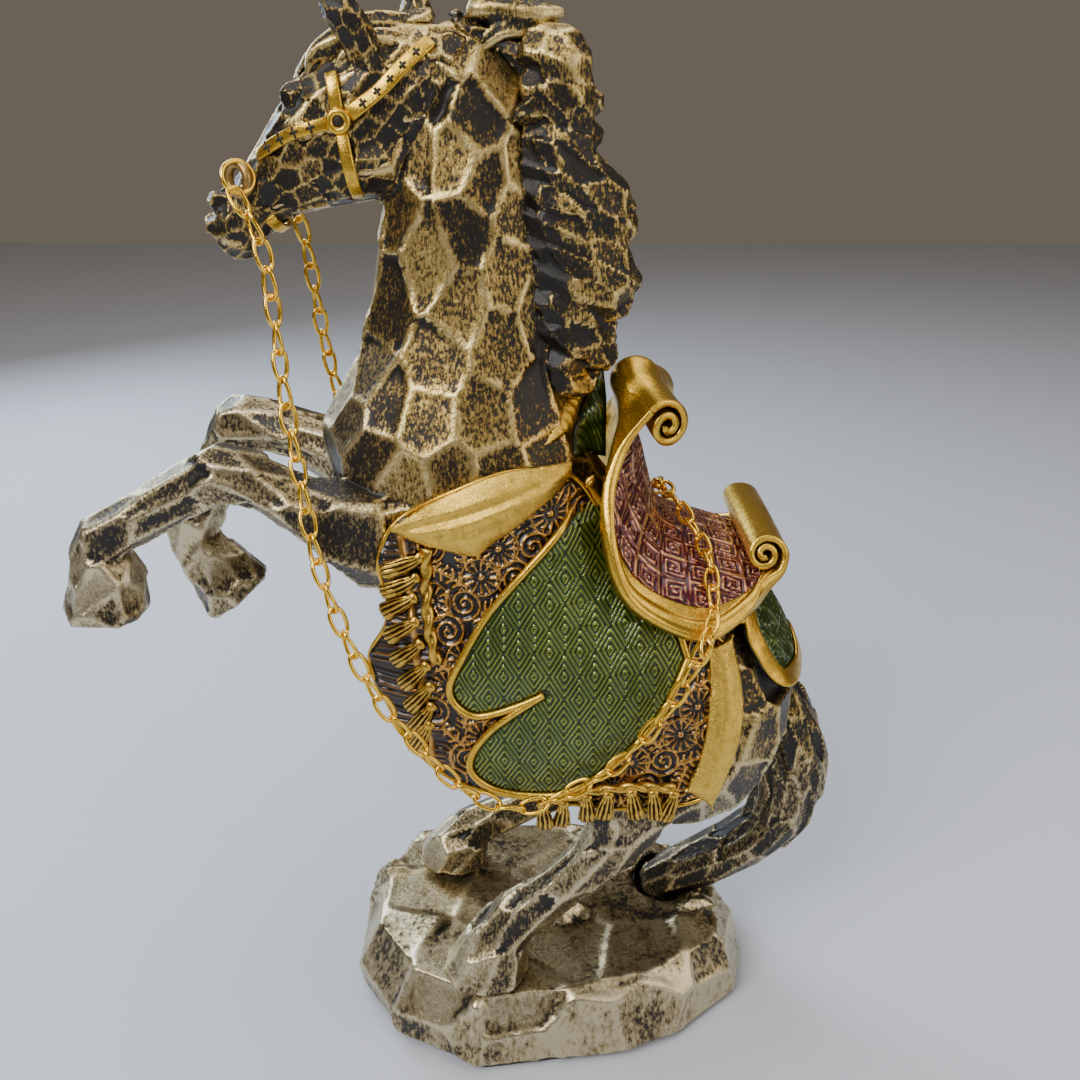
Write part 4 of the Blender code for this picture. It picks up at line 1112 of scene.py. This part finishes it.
def build_rock():
    rock = melted("rock_carving", copies(("rock_base",)), voxel=0.9, smoothing=2, material=STONE)
    carve_facets(
        rock, facets(21.0), turn=1.1, depth=0.17, jitter=1.0, ridge=0.8, hollow=0.4, soften=4
    )
    paint(rock, "silver", np.full(len(rock.data.vertices), PEWTER))
    belongs(rock, "rock_base", slot="cast_stone")


def dress_frame():
    """Better materials for the CAD nodes that stay."""
    for node in ("felt_pad", "left_hind_dowel", "right_hind_dowel", "tail_dowel"):
        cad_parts[node].data.materials.clear()
        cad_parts[node].data.materials.append(FELT if node == "felt_pad" else STEEL)


# ---------------------------------------------------------------- cloths


CLOTH = (
    (5, 152), (-10, 155), (-30, 146.5), (-36.5, 137), (-35.5, 122), (-40.5, 111),
    (-36.5, 100), (-29, 87), (-18, 80), (0, 77), (16, 75.5), (34, 77),
    (40, 84), (43.5, 98), (42, 110), (34, 119), (24, 127), (14, 138),
)
FLAP = (  # a point given twice makes a corner
    (8.5, 149), (8.5, 149), (-10.6, 128.5), (-19.5, 114), (-21.9, 106), (-16.5, 101),
    (-8, 103.5), (-2, 106.3), (-2, 106.3), (-13, 97.5), (-18, 88), (-13.2, 81.8),
    (-4, 80), (5, 81.5), (16.2, 90.6), (25, 101.5), (30.8, 113), (30.8, 113),
    (25, 128), (15, 141),
)
FRONT_HEM = (
    (-34.5, 142.5), (-34.5, 142.5), (-25.1, 149.5), (-10.3, 155.5), (6, 156.2), (6, 156.2),
    (4.3, 152.1), (-6, 144.5), (-14.9, 137.8), (-14.9, 137.8), (-25, 139.5),
)
REAR_HEM = (
    (36, 114), (36, 114), (41.8, 115.5), (41.8, 115.5), (44.2, 102.5), (42.5, 90),
    (37.9, 75.9), (37.9, 75.9), (31.8, 81), (31.8, 81), (35.2, 92), (36.2, 102.5),
)
TASSEL_TOPS = ((-1.5, 78.6), (3.6, 79.2), (8.6, 81.4), (13.6, 82.4), (18.6, 82.8), (23.6, 82.5), (28.6, 82))
CHEST_TASSELS = [  # where each one starts on the cloth, and which way it lies
    ((-27.0 - 1.6 * math.sin(k * 0.72), 137.2 - 4.9 * k), (-0.86 + 0.05 * k, -0.3 - 0.07 * k))
    for k in range(9)
]
SKIRT = (
    (59, -17), (59, -17), (66, -23), (80, -25), (86, -13), (84, 0),
    (86, 13), (80, 25), (66, 23), (59, 17), (59, 17),
)
HEMS = (  # end, outline, reach across and up, height, creases, how deep it starts and how thick it is
    ("_front", FRONT_HEM, (-40, 12), (130, 162), 2.2,
     (((-33, 142.6), (2, 153.8), 0.9), ((-26, 141), (-8, 147.5), 0.35)), -1.6, 2.2),
    ("_rear", REAR_HEM, (26, 50), (70, 120), 1.5, (((38.8, 113), (39.8, 96), 0.25),), -1.0, 2.4),
)
CHEST_CORD = ((-26, 139), (-26.5, 130), (-26, 121), (-24.5, 113))
BARREL = AroundAxis((-15, 0, 145), (0.725, 0, -0.689), (0.689, 0, 0.725), 28.0, 75)


def cloth_height(flat, edge):
    """Filigree inside a plain edge, with combed fringe along the chest."""
    pattern = scrolls(flat, pitch=7.4)
    chest = smoothstep(-24.5, -26.5, flat[:, 0] + 0.12 * (flat[:, 1] - 110))
    strand = 0.5 + 0.5 * np.cos(flat[:, 1] * 4.1 + 1.4 * np.sin(flat[:, 0] * 0.35 + flat[:, 1] * 0.3))
    bunch = 0.5 + 0.5 * np.cos(flat[:, 1] * 0.78)
    knot = np.exp(-(((flat[:, 0] + 28.6 + 0.1 * (flat[:, 1] - 110)) / 1.0) ** 2))
    fringe = np.maximum(0.75 * strand * (0.45 + 0.55 * bunch), knot)
    relief = pattern * (1 - chest) + fringe * chest
    fade = smoothstep(0.3, 1.2, edge)
    return relief * fade * 0.75 + chest * bunch * 0.8, relief * fade * 0.92


def flap_height(flat, edge):
    """Nested diamonds on a softly crowned field."""
    pattern = diamonds(flat, width=6.6, height=10.6, lines=3)
    fade = smoothstep(0.8, 1.4, edge)
    bulge = 1.1 * (1 - np.exp(-edge / 5.0))
    return bulge + pattern * fade * 0.42, pattern * fade * 0.62 + 0.08


def fold_height(rise, creases):
    """Heaped cloth with a few soft folds along it, as a height function."""

    def height(flat, edge):
        dome = 1 - np.exp(-((edge / 3.2) ** 1.2))
        fold = np.zeros(len(flat))
        for (x0, z0), (x1, z1), deep in creases:
            start, way = np.array((x0, z0), dtype=float), np.array((x1 - x0, z1 - z0), dtype=float)
            t = np.clip((flat - start) @ way / (way @ way), 0, 1)
            gap = np.linalg.norm(flat - start - t[:, None] * way, axis=1)
            fold += deep * np.exp(-((gap / 0.9) ** 2)) * smoothstep(0, 0.15, t) * smoothstep(1, 0.85, t)
        return rise * dome - fold, fold

    return height


def skirt_height(flat, edge):
    """Square spirals inside a plain border."""
    pattern = keys(flat, tile=5.6, turns=2.5)
    border = smoothstep(5.0, 4.4, edge)
    return pattern * (1 - border) * 0.4, pattern * (1 - border) * 0.5 + 0.08


TASSEL_RISE = ((0, 1.0), (0.2, 1.5), (0.45, 1.3), (0.75, 1.0), (1.0, 0.5))  # how far along, how high


def tassel(ground, top, way, length):
    """A knot with a bell of combed threads below it."""
    rows = [(top[0] + way[0] * length * t, top[1] + way[1] * length * t) for t, _ in TASSEL_RISE]
    line = through(ground.place(np.array(rows), np.array([lift for _, lift in TASSEL_RISE])), 4)
    outward = ground.place(np.array([rows[0]]), np.array([2.0]))[0] - line[0]
    turn = all_round(36)

    def profile(k, n):
        t = k / (n - 1)
        if t < 0.22:
            swell = 0.9 + 0.5 * math.sin(math.pi * t / 0.22)
        else:
            swell = 0.95 + 1.45 * math.sqrt((t - 0.22) / 0.78) - 0.6 * smoothstep(0.9, 1.0, t)
        comb = 1 - 0.34 * (0.5 + 0.5 * np.cos(9 * turn + 1.5 * t)) * (t > 0.22)
        return oval(turn, swell * comb, 0.58 * swell * comb)

    return sweep("tassel", line, profile, outward)


def fringe(name, ground, tassels, line, radius, lift):
    """Tassels hung from a two-strand rope that lies on a ground."""
    flat = evenly(through(line, 8), 0.5)
    spots = ground.place(flat, lift)
    outward = ground.place(flat, lift + 1.0) - spots
    turn = all_round(16)

    def profile(k, n):
        wave = 1 + 0.24 * np.cos(2 * turn + k * 0.62)
        return oval(turn, radius * wave, radius * wave)

    piece = joined(name, [*tassels, sweep("cord", spots, profile, outward)], SHADED_FRINGE_GOLD)
    # painted shade: the gaps between the threads are stored as sunk, which darkens the gold paint there
    wear_and_shade(piece, 3, 0.0, 0.06)
    return piece


def build_cloths():
    for side, word in SIDES:
        view = SideView(side)
        ground = Ground(view, (word + "_saddle_cloth",), (-46, 48), (66, 160))
        rim = through(CLOTH, 6, closed=True)
        cloth = relief_patch(word + "_filigree_cloth", ground, rim, 0.34, cloth_height, FILIGREE)
        belongs(cloth, word + "_saddle_cloth", slot="filigree")
        belongs(laid(word + "_cloth_edging", ground, rim, circle(0.55), 0.1, RIM), slot="gold_paint")
        made = [tassel(ground, top, way, length=10.5) for top, way in CHEST_TASSELS]
        belongs(fringe(word + "_chest_fringe", ground, made, CHEST_CORD, 1.2, 1.0), slot="gold_paint")

        ground = Ground(view, (word + "_green_flap",), (-30, 40), (72, 158), rounds=6)
        rim = through(FLAP, 6, closed=True)
        flap = relief_patch(word + "_enamel_flap", ground, rim, 0.3, flap_height, GREEN, -0.6, 0.8)
        belongs(flap, word + "_green_flap", slot="green_enamel")
        belongs(laid(word + "_flap_edging", ground, rim, circle(0.85), -0.15, GOLD), slot="gold_paint")

        for end, outline, across, up, rise, creases, base, skirt in HEMS:
            ground = Ground(view, (word + end + "_hem",), across, up, rounds=8)
            rim, height = through(outline, 6, closed=True), fold_height(rise, creases)
            hem = relief_patch(word + end + "_roll", ground, rim, 0.4, height, SATIN, base, skirt)
            belongs(hem, word + end + "_hem", slot="gold_paint")

        ground = Ground(view, (word + "_tassel_band",), (-10, 36), (62, 90), rounds=6)
        ways = [(0.3 * random.uniform(-1, 1), -1) for _ in TASSEL_TOPS]
        made = [tassel(ground, top, way, length=8.0) for top, way in zip(TASSEL_TOPS, ways)]
        line = [(x, z + 0.4) for x, z in TASSEL_TOPS]
        tassels = fringe(word + "_tassel_fringe", ground, made, line, 1.1, 0.6)
        belongs(tassels, word + "_tassel_band", slot="gold_paint")

    ground = Ground(BARREL, ("croup_skirt",), (54, 92), (-32, 32), rounds=6)
    rim = through(SKIRT, 6, closed=True)
    skirt = relief_patch("enamel_skirt", ground, rim, 0.34, skirt_height, GREEN, -0.5, 1.0)
    belongs(skirt, "croup_skirt", slot="green_enamel")
    border = laid("skirt_border", ground, inset(rim, 2.0), band(4.4, 0.9), 0.0, RIM)
    belongs(border, slot="gold_paint")


def inset(rim, distance):
    """A closed line moved inwards."""
    way = np.roll(rim, -1, axis=0) - np.roll(rim, 1, axis=0)
    way /= np.maximum(np.linalg.norm(way, axis=1), 1e-9)[:, None]
    side = np.stack([-way[:, 1], way[:, 0]], 1) * distance
    inward = rim + side
    if inside(inward, rim).mean() < 0.5:
        inward = rim - side
    return inward


# ---------------------------------------------------------------- saddle


SADDLE = (  # rows from the pommel back to the cantle, each from the middle line out to the right
    ((15.2, 0, 168.2), (17, 6.5, 167.9), (19.8, 11.5, 167.2), (21.8, 17, 166.2)),
    ((17.4, 0, 162), (16.6, 8, 161.6), (15.4, 14.5, 160.2), (15.2, 20.3, 157.8)),
    ((20.4, 0, 155), (17.8, 10, 154.2), (13.6, 20, 151), (12, 27.5, 145)),
    ((22.4, 0, 147.5), (20.2, 12, 144.8), (16.5, 24.5, 138.5), (15.5, 32.5, 131)),
    ((25.4, 0, 138.6), (24.7, 13, 136.2), (23.8, 26.5, 131), (24, 33.3, 123.5)),
    ((34.7, 0, 134), (34.3, 13, 132.5), (34, 26, 128.4), (34.3, 33.3, 120.5)),
    ((42.5, 0, 131.4), (42.8, 11, 130.4), (43.2, 21.5, 127.4), (43.5, 27.5, 123.8)),
    ((47.6, 0, 129.5), (47.7, 9, 129.3), (47.9, 16.5, 128.7), (48.2, 21.6, 127.6)),
    ((50.6, 0, 130.7), (50.7, 8, 130.6), (50.8, 14.5, 130.4), (51, 19.4, 130)),
    ((51.6, 0, 132.6), (51.7, 8, 132.6), (51.8, 13.5, 132.6), (51.9, 18.4, 132.6)),
)


def blurred(field, rounds):
    """A grid with each value averaged with its neighbours', that many times over."""
    for _ in range(rounds):
        padded = np.pad(field, 1, mode="edge")
        field = (padded[2:, 1:-1] + padded[:-2, 1:-1] + padded[1:-1, 2:] + padded[1:-1, :-2]) / 4
    return field


def closed_sheet(name, outer, inner, material):
    """A closed skin between two grids of points."""
    rows, columns = outer.shape[:2]
    number = np.arange(rows * columns).reshape(rows, columns)
    quads = np.stack([number[:-1, :-1], number[1:, :-1], number[1:, 1:], number[:-1, 1:]], -1)
    quads, size = quads.reshape(-1, 4), rows * columns
    rim = np.concatenate([number[:, 0], number[-1, 1:], number[-2::-1, -1], number[0, -2:0:-1]])
    faces = quads.tolist() + (quads[:, ::-1] + size).tolist()
    faces += [(a, b, b + size, a + size) for a, b in zip(rim.tolist(), np.roll(rim, -1).tolist())]
    points = np.vstack([outer.reshape(-1, 3), inner.reshape(-1, 3)])
    return faced_out(add_object(name, points, faces, material))


class Saddle:
    """The saddle's sheet, as a grid of points from pommel to cantle and from left to right."""

    def __init__(self, rows, columns, clearance):
        grid = []
        for row in SADDLE:
            left = [(x, -y, z) for x, y, z in row[1:]][::-1]
            grid.append(spread(evenly(through(left + list(row), 12), 0.3), columns).ravel())
        self.points = spread(through(grid, 40), rows).reshape(rows, columns, 3)
        self.measure()
        self.clear_of_what_is_under(clearance)
        self.measure()

    def measure(self):
        """Works out the normals, and the distances back along the middle and out across each row."""
        down, over = np.gradient(self.points, axis=0), np.gradient(self.points, axis=1)
        normal = np.cross(over, down)
        normal /= np.linalg.norm(normal, axis=2)[..., None]
        middle = normal.shape[0] // 2, normal.shape[1] // 2
        self.normals = -normal if normal[middle][2] < 0 else normal
        self.down = np.linalg.norm(down[:, middle[1]], axis=1).cumsum()
        self.over = np.linalg.norm(over, axis=2).cumsum(axis=1)
        self.over -= self.over[:, middle[1] : middle[1] + 1]

    def clear_of_what_is_under(self, gap, most=6.0):
        """Lifts the sheet, by blurred steps, until that gap lies under it."""
        under = ["torso", "neck", "croup_skirt"]
        under += [w + n for _, w in SIDES for n in ("_saddle_cloth", "_green_flap", "_front_hem")]
        form = joined("under", copies(under))
        tree = BVHTree.FromObject(form, bpy.context.evaluated_depsgraph_get())
        short = []
        for point in self.points.reshape(-1, 3):
            spot, normal, _, _ = tree.find_nearest(Vector(point) * MM)
            high = (Vector(point) * MM - spot).dot(normal) / MM
            short.append(min(max(0.0, gap - high), most))
        bpy.data.objects.remove(form, do_unlink=True)
        short = np.array(short).reshape(self.points.shape[:2])
        lift = np.maximum(blurred(short, 60), 0.6 * short)
        self.points = self.points + self.normals * blurred(lift, 40)[..., None]

    def edge_gap(self):
        """Each point's distance in from the left or right edge, in millimetres."""
        return np.minimum(self.over[:, -1:] - self.over, self.over - self.over[:, :1])

    def lifted(self, height):
        """The grid moved off the saddle by a height, which may vary from point to point."""
        return self.points + self.normals * np.broadcast_to(height, self.points.shape[:2])[..., None]


def roll(name, saddle, end, radius, turns=1.9, taper=0.86):
    """The saddle's end row, rolled up towards the seat into a scroll."""
    edge, normal = saddle.points[end], saddle.normals[end]
    onward = edge - saddle.points[end + (3 if end == 0 else -3)]
    beside = np.stack([np.arange(len(edge) - 1), np.arange(1, len(edge))], 1)
    normal, onward = relaxed(normal, beside, 400), relaxed(onward, beside, 400)
    normal /= np.linalg.norm(normal, axis=1)[:, None]
    onward -= np.einsum("ij,ij->i", onward, normal)[:, None] * normal
    onward /= np.linalg.norm(onward, axis=1)[:, None]
    centre = edge + normal * radius
    wall = 0.7 * taper * radius / turns
    outer, inner = [], []
    for turn in np.linspace(0, turns * 2 * math.pi, 110):
        start = math.exp(-((turn / 1.2) ** 2))
        reach = radius * (1 - taper * (turn / (turns * 2 * math.pi)) ** 1.1)
        way = onward * math.sin(turn) - normal * math.cos(turn)
        outer.append(centre + way * (reach + 0.6 + 0.9 * start))
        inner.append(centre + way * max(0.15, reach + 0.6 - wall + (wall - 0.6) * start))
    return closed_sheet(name, np.array(outer), np.array(inner), GOLD)


COLLAR_GOLD = ((10.4, 177), (7, 171.5), (2.5, 164.5), (-1, 158.6), (4.8, 159.2), (8, 165.5), (9.6, 171.5))
COLLAR_GREEN = (
    (10.4, 174), (10, 171.5), (8.4, 165.5), (5.4, 159.2), (4, 154), (13, 152), (13, 165), (12.2, 171.5)
)


def leaf_height(flat, edge):
    """A crowned leaf with slanting stripes."""
    stripes = 0.5 + 0.5 * np.cos(2 * math.pi * (flat[:, 0] + 0.45 * flat[:, 1]) / 1.3)
    fade = smoothstep(0.5, 1.1, edge)
    return 1.2 * (1 - np.exp(-edge / 1.2)) + 0.3 * stripes * fade, 0.5 * stripes * fade


RIM_REACH = 4.6  # how far the raised gold rim reaches in from the saddle's edge
SHELL_DEPTH = 1.5
SEAT_PANEL = (-0.4, 0.2)  # its underside and its field, off the saddle
PATTERN_RISE = 0.5
PANEL_EDGE = 3.4  # how far in from the saddle's edge the panel starts, under the rim
ROLLS = (("pommel", 0, 5.1), ("cantle", -1, 4.1))  # name, row of the saddle, radius
COLLARS = (
    ("_collar_leaf", COLLAR_GOLD, SATIN, 0.3, "gold_paint"),
    ("_collar_inset", COLLAR_GREEN, GREEN, 0.1, "green_enamel"),
)


def rim_height(saddle, gap):
    """A soft rim with a groove near the edge, fading out at the pommel and the cantle."""
    height = 1.35 * np.clip(1 - ((gap - 2.2) / 2.4) ** 4, 0, 1)
    height -= 0.35 * np.exp(-(((gap - 1.3) / 0.35) ** 2))
    behind, ahead = saddle.down[:, None], (saddle.down[-1] - saddle.down)[:, None]
    height *= smoothstep(0, 8, behind) * smoothstep(0, 5, ahead)
    return np.where(gap < RIM_REACH, height, 0.0)


def build_saddle():
    saddle = Saddle(rows=181, columns=201, clearance=2.3)
    gap = saddle.edge_gap()
    flat = np.stack([np.broadcast_to(saddle.down[:, None], gap.shape).ravel(), saddle.over.ravel()], 1)
    pattern = keys(flat, tile=6.4, turns=2.5).reshape(gap.shape) * smoothstep(4.3, 5.0, gap)
    keep = slice(*(np.flatnonzero(gap.min(0) > PANEL_EDGE)[[0, -1]]))
    raised, lowered = saddle.lifted(SEAT_PANEL[1] + PATTERN_RISE * pattern), saddle.lifted(SEAT_PANEL[0])
    seat = closed_sheet("seat_panel", raised[:, keep], lowered[:, keep], CRIMSON)
    pattern = pattern[:, keep]
    paint(seat, "worn", np.concatenate([pattern.ravel() * 0.85, np.zeros(pattern.size)]))
    belongs(seat, "saddle_seat", slot="red_enamel")
    upper, lower = saddle.lifted(rim_height(saddle, gap)), saddle.lifted(-SHELL_DEPTH)
    belongs(closed_sheet("saddle_shell", upper, lower, GOLD), slot="gold_paint")
    for word, end, radius in ROLLS:
        belongs(roll(word + "_roll", saddle, end, radius), word + "_scroll", slot="gold_paint")
    for side, word in SIDES:
        ground = Ground(SideView(side), ("torso", "neck"), (-6, 18), (154, 182), rounds=6)
        for name, outline, material, base, slot in COLLARS:
            leaf = relief_patch(word + name, ground, outline, 0.3, leaf_height, material, base, 1.5)
            belongs(leaf, slot=slot)


# ---------------------------------------------------------------- bridle


STRAPS = {
    "crown_strap": (((-39.2, 224.8), (-33.6, 228.6), (-28.6, 233.4), (-23.3, 237.8)), 3.0),
    "cheek_strap": (((-43.6, 223.2), (-51.5, 221), (-58.6, 217)), 2.5),
    "throat_strap": (((-40.9, 221.4), (-39.8, 215), (-39.0, 209.8)), 2.5),
    "brow_strap": (((-41.5, 225.6), (-41.9, 228.6), (-42.4, 232)), 2.5),
}
HEAD_ROUND = AroundAxis((-50, 0, 213), (-0.85, 0, -0.52), (-0.52, 0, 0.85), 8.0, 15)
CURB = ((11.0, 15.6), (11.0, 25.1), (11.0, 34.7))  # round the head
BOSS = (-41.3, 223.6)
BIT = (-62.0, 12.4, 212.9)


def ring(name, centre, facing, radius, wire, material, flat=1.0):
    """A closed ring of wire, whose section may be flattened."""
    facing = Vector(facing).normalized()
    turn = facing.to_track_quat("Z", "Y").to_matrix()
    line = [
        tuple(Vector(centre) + turn @ Vector((radius * math.cos(a), radius * math.sin(a), 0)))
        for a in all_round(48)
    ]
    return sweep(name, line, lambda k, n: circle(wire, 14, flat), tuple(facing), material, closed=True)


def cross_marks(ground, line, lift):
    """Small dark crosses set along a strap."""
    section = band(0.55, 0.36)
    spots = evenly(through(line, 8), 3.2)
    flat, way = spots[1:-1], along(spots)[1:-1]
    made = []
    for spot, step in zip(flat, way):
        side = np.array((-step[1], step[0]))
        for turn in (step, side):
            ends = np.array([spot - turn * 0.8, spot + turn * 0.8])
            where = ground.place(ends, np.array([lift, lift]))
            outward = ground.place(ends[:1], np.array([lift + 1]))[0] - where[0]
            made.append(sweep("mark", where, lambda k, n: section, outward))
    return made


def build_bridle():
    for side, word in SIDES:
        view = SideView(side)
        nodes = ["head", "neck"] + [word + "_" + strap for strap in STRAPS]
        ground = Ground(view, nodes, (-66, -16), (204, 242), step=0.7, rounds=10)
        marks = []
        for strap, (line, width) in STRAPS.items():
            piece = word + "_" + strap
            leather = laid(piece + "_band", ground, through(line, 8), band(width, 0.95), 0.55, GOLD, False)
            belongs(leather, piece, slot="gold_paint")
            if strap in ("crown_strap", "cheek_strap"):
                marks += cross_marks(ground, line, 1.05)
        spot = ground.place(np.array([BOSS]), np.array([0.9]))[0]
        middle = spot + (0, side * 0.5, 0)
        boss = ring(word + "_boss_rosette", middle, (0, side, 0), 1.75, 0.75, GOLD, flat=0.9)
        belongs(boss, word + "_boss", slot="gold_paint")
        marks.append(blob(spot, (1.7, 0.75, 1.7)))
        belongs(joined(word + "_strap_marks", marks, DARK), slot="gold_paint")
        x, y, z = BIT
        bit = ring(word + "_bit_ring_wire", (x, side * y, z), (-0.6, side * 0.8, 0), 2.9, 0.95, DULL)
        belongs(bit, word + "_bit_ring", slot="gold_paint")
        hook = (x + 0.6, side * (y + 2.2), z + 0.6)
        holder = ring(word + "_rein_ring", hook, (0.5, side * 0.8, 0.3), 3.1, 0.5, BRASS)
        belongs(holder, slot="brass_chain")
    ground = Ground(HEAD_ROUND, ("curb_strap",), (5, 17), (14, 37), step=0.6, rounds=6)
    curb = laid("curb_band", ground, through(CURB, 12), band(2.4, 0.9), -0.2, GOLD, False)
    belongs(curb, "curb_strap", slot="gold_paint")


# ---------------------------------------------------------------- studio


LIGHTS = (  # name, place, size, power, colour; places and sizes here are in metres
    ("key", (-0.35, -0.5, 0.65), 0.4, 5.4, (1, 1, 1)),
    ("fill", (0.6, -0.35, 0.4), 0.6, 2.2, (1, 0.95, 0.88)),
    ("top", (0.05, 0.1, 0.8), 0.7, 3.2, (1, 1, 1)),
    ("window", (-0.45, 0.5, 0.42), 0.42, 4.2, (0.72, 0.86, 1)),
)
LIT_SPOT = (0, 0, 0.11)
WORLD_COLOUR, WORLD_STRENGTH = (0.5, 0.42, 0.33, 1), 0.3
FLOOR_REACH, FLOOR_LEVEL = 1500, -0.02
EYE, EYE_TILT = (-0.002, -0.2386, 0.2306), 67.1  # place in metres, and degrees up from straight down
LENS, SENSOR = 36.1, 36


def build_studio():
    scene = bpy.context.scene
    scene.world = bpy.data.worlds.new("studio")
    scene.world.use_nodes = True
    background = scene.world.node_tree.nodes["Background"]
    background.inputs["Color"].default_value = WORLD_COLOUR
    background.inputs["Strength"].default_value = WORLD_STRENGTH
    for name, place, size, power, colour in LIGHTS:
        light = bpy.data.lights.new(name, "AREA")
        light.size, light.energy, light.color = size, power, colour
        lamp = bpy.data.objects.new(name, light)
        lamp.location = place
        lamp.rotation_euler = (Vector(LIT_SPOT) - Vector(place)).to_track_quat("-Z", "Y").to_euler()
        scene.collection.objects.link(lamp)
    square = ((-1, -1), (1, -1), (1, 1), (-1, 1))
    corners = [(x * FLOOR_REACH, y * FLOOR_REACH, FLOOR_LEVEL) for x, y in square]
    cover = Paint("pale_floor").finish((0.62, 0.65, 0.72), 0.0, 0.7)
    add_object("floor", corners, [(0, 1, 2, 3)], cover)
    camera = bpy.data.cameras.new("camera")
    camera.sensor_width = SENSOR
    camera.lens = LENS
    eye = bpy.data.objects.new("camera", camera)
    eye.location = EYE
    eye.rotation_euler = (math.radians(EYE_TILT), 0, 0)
    scene.collection.objects.link(eye)
    scene.camera = eye


build_studio()
build_reins()
build_body()
build_head()
build_hair()
build_rock()
build_cloths()
build_saddle()
build_bridle()
dress_frame()
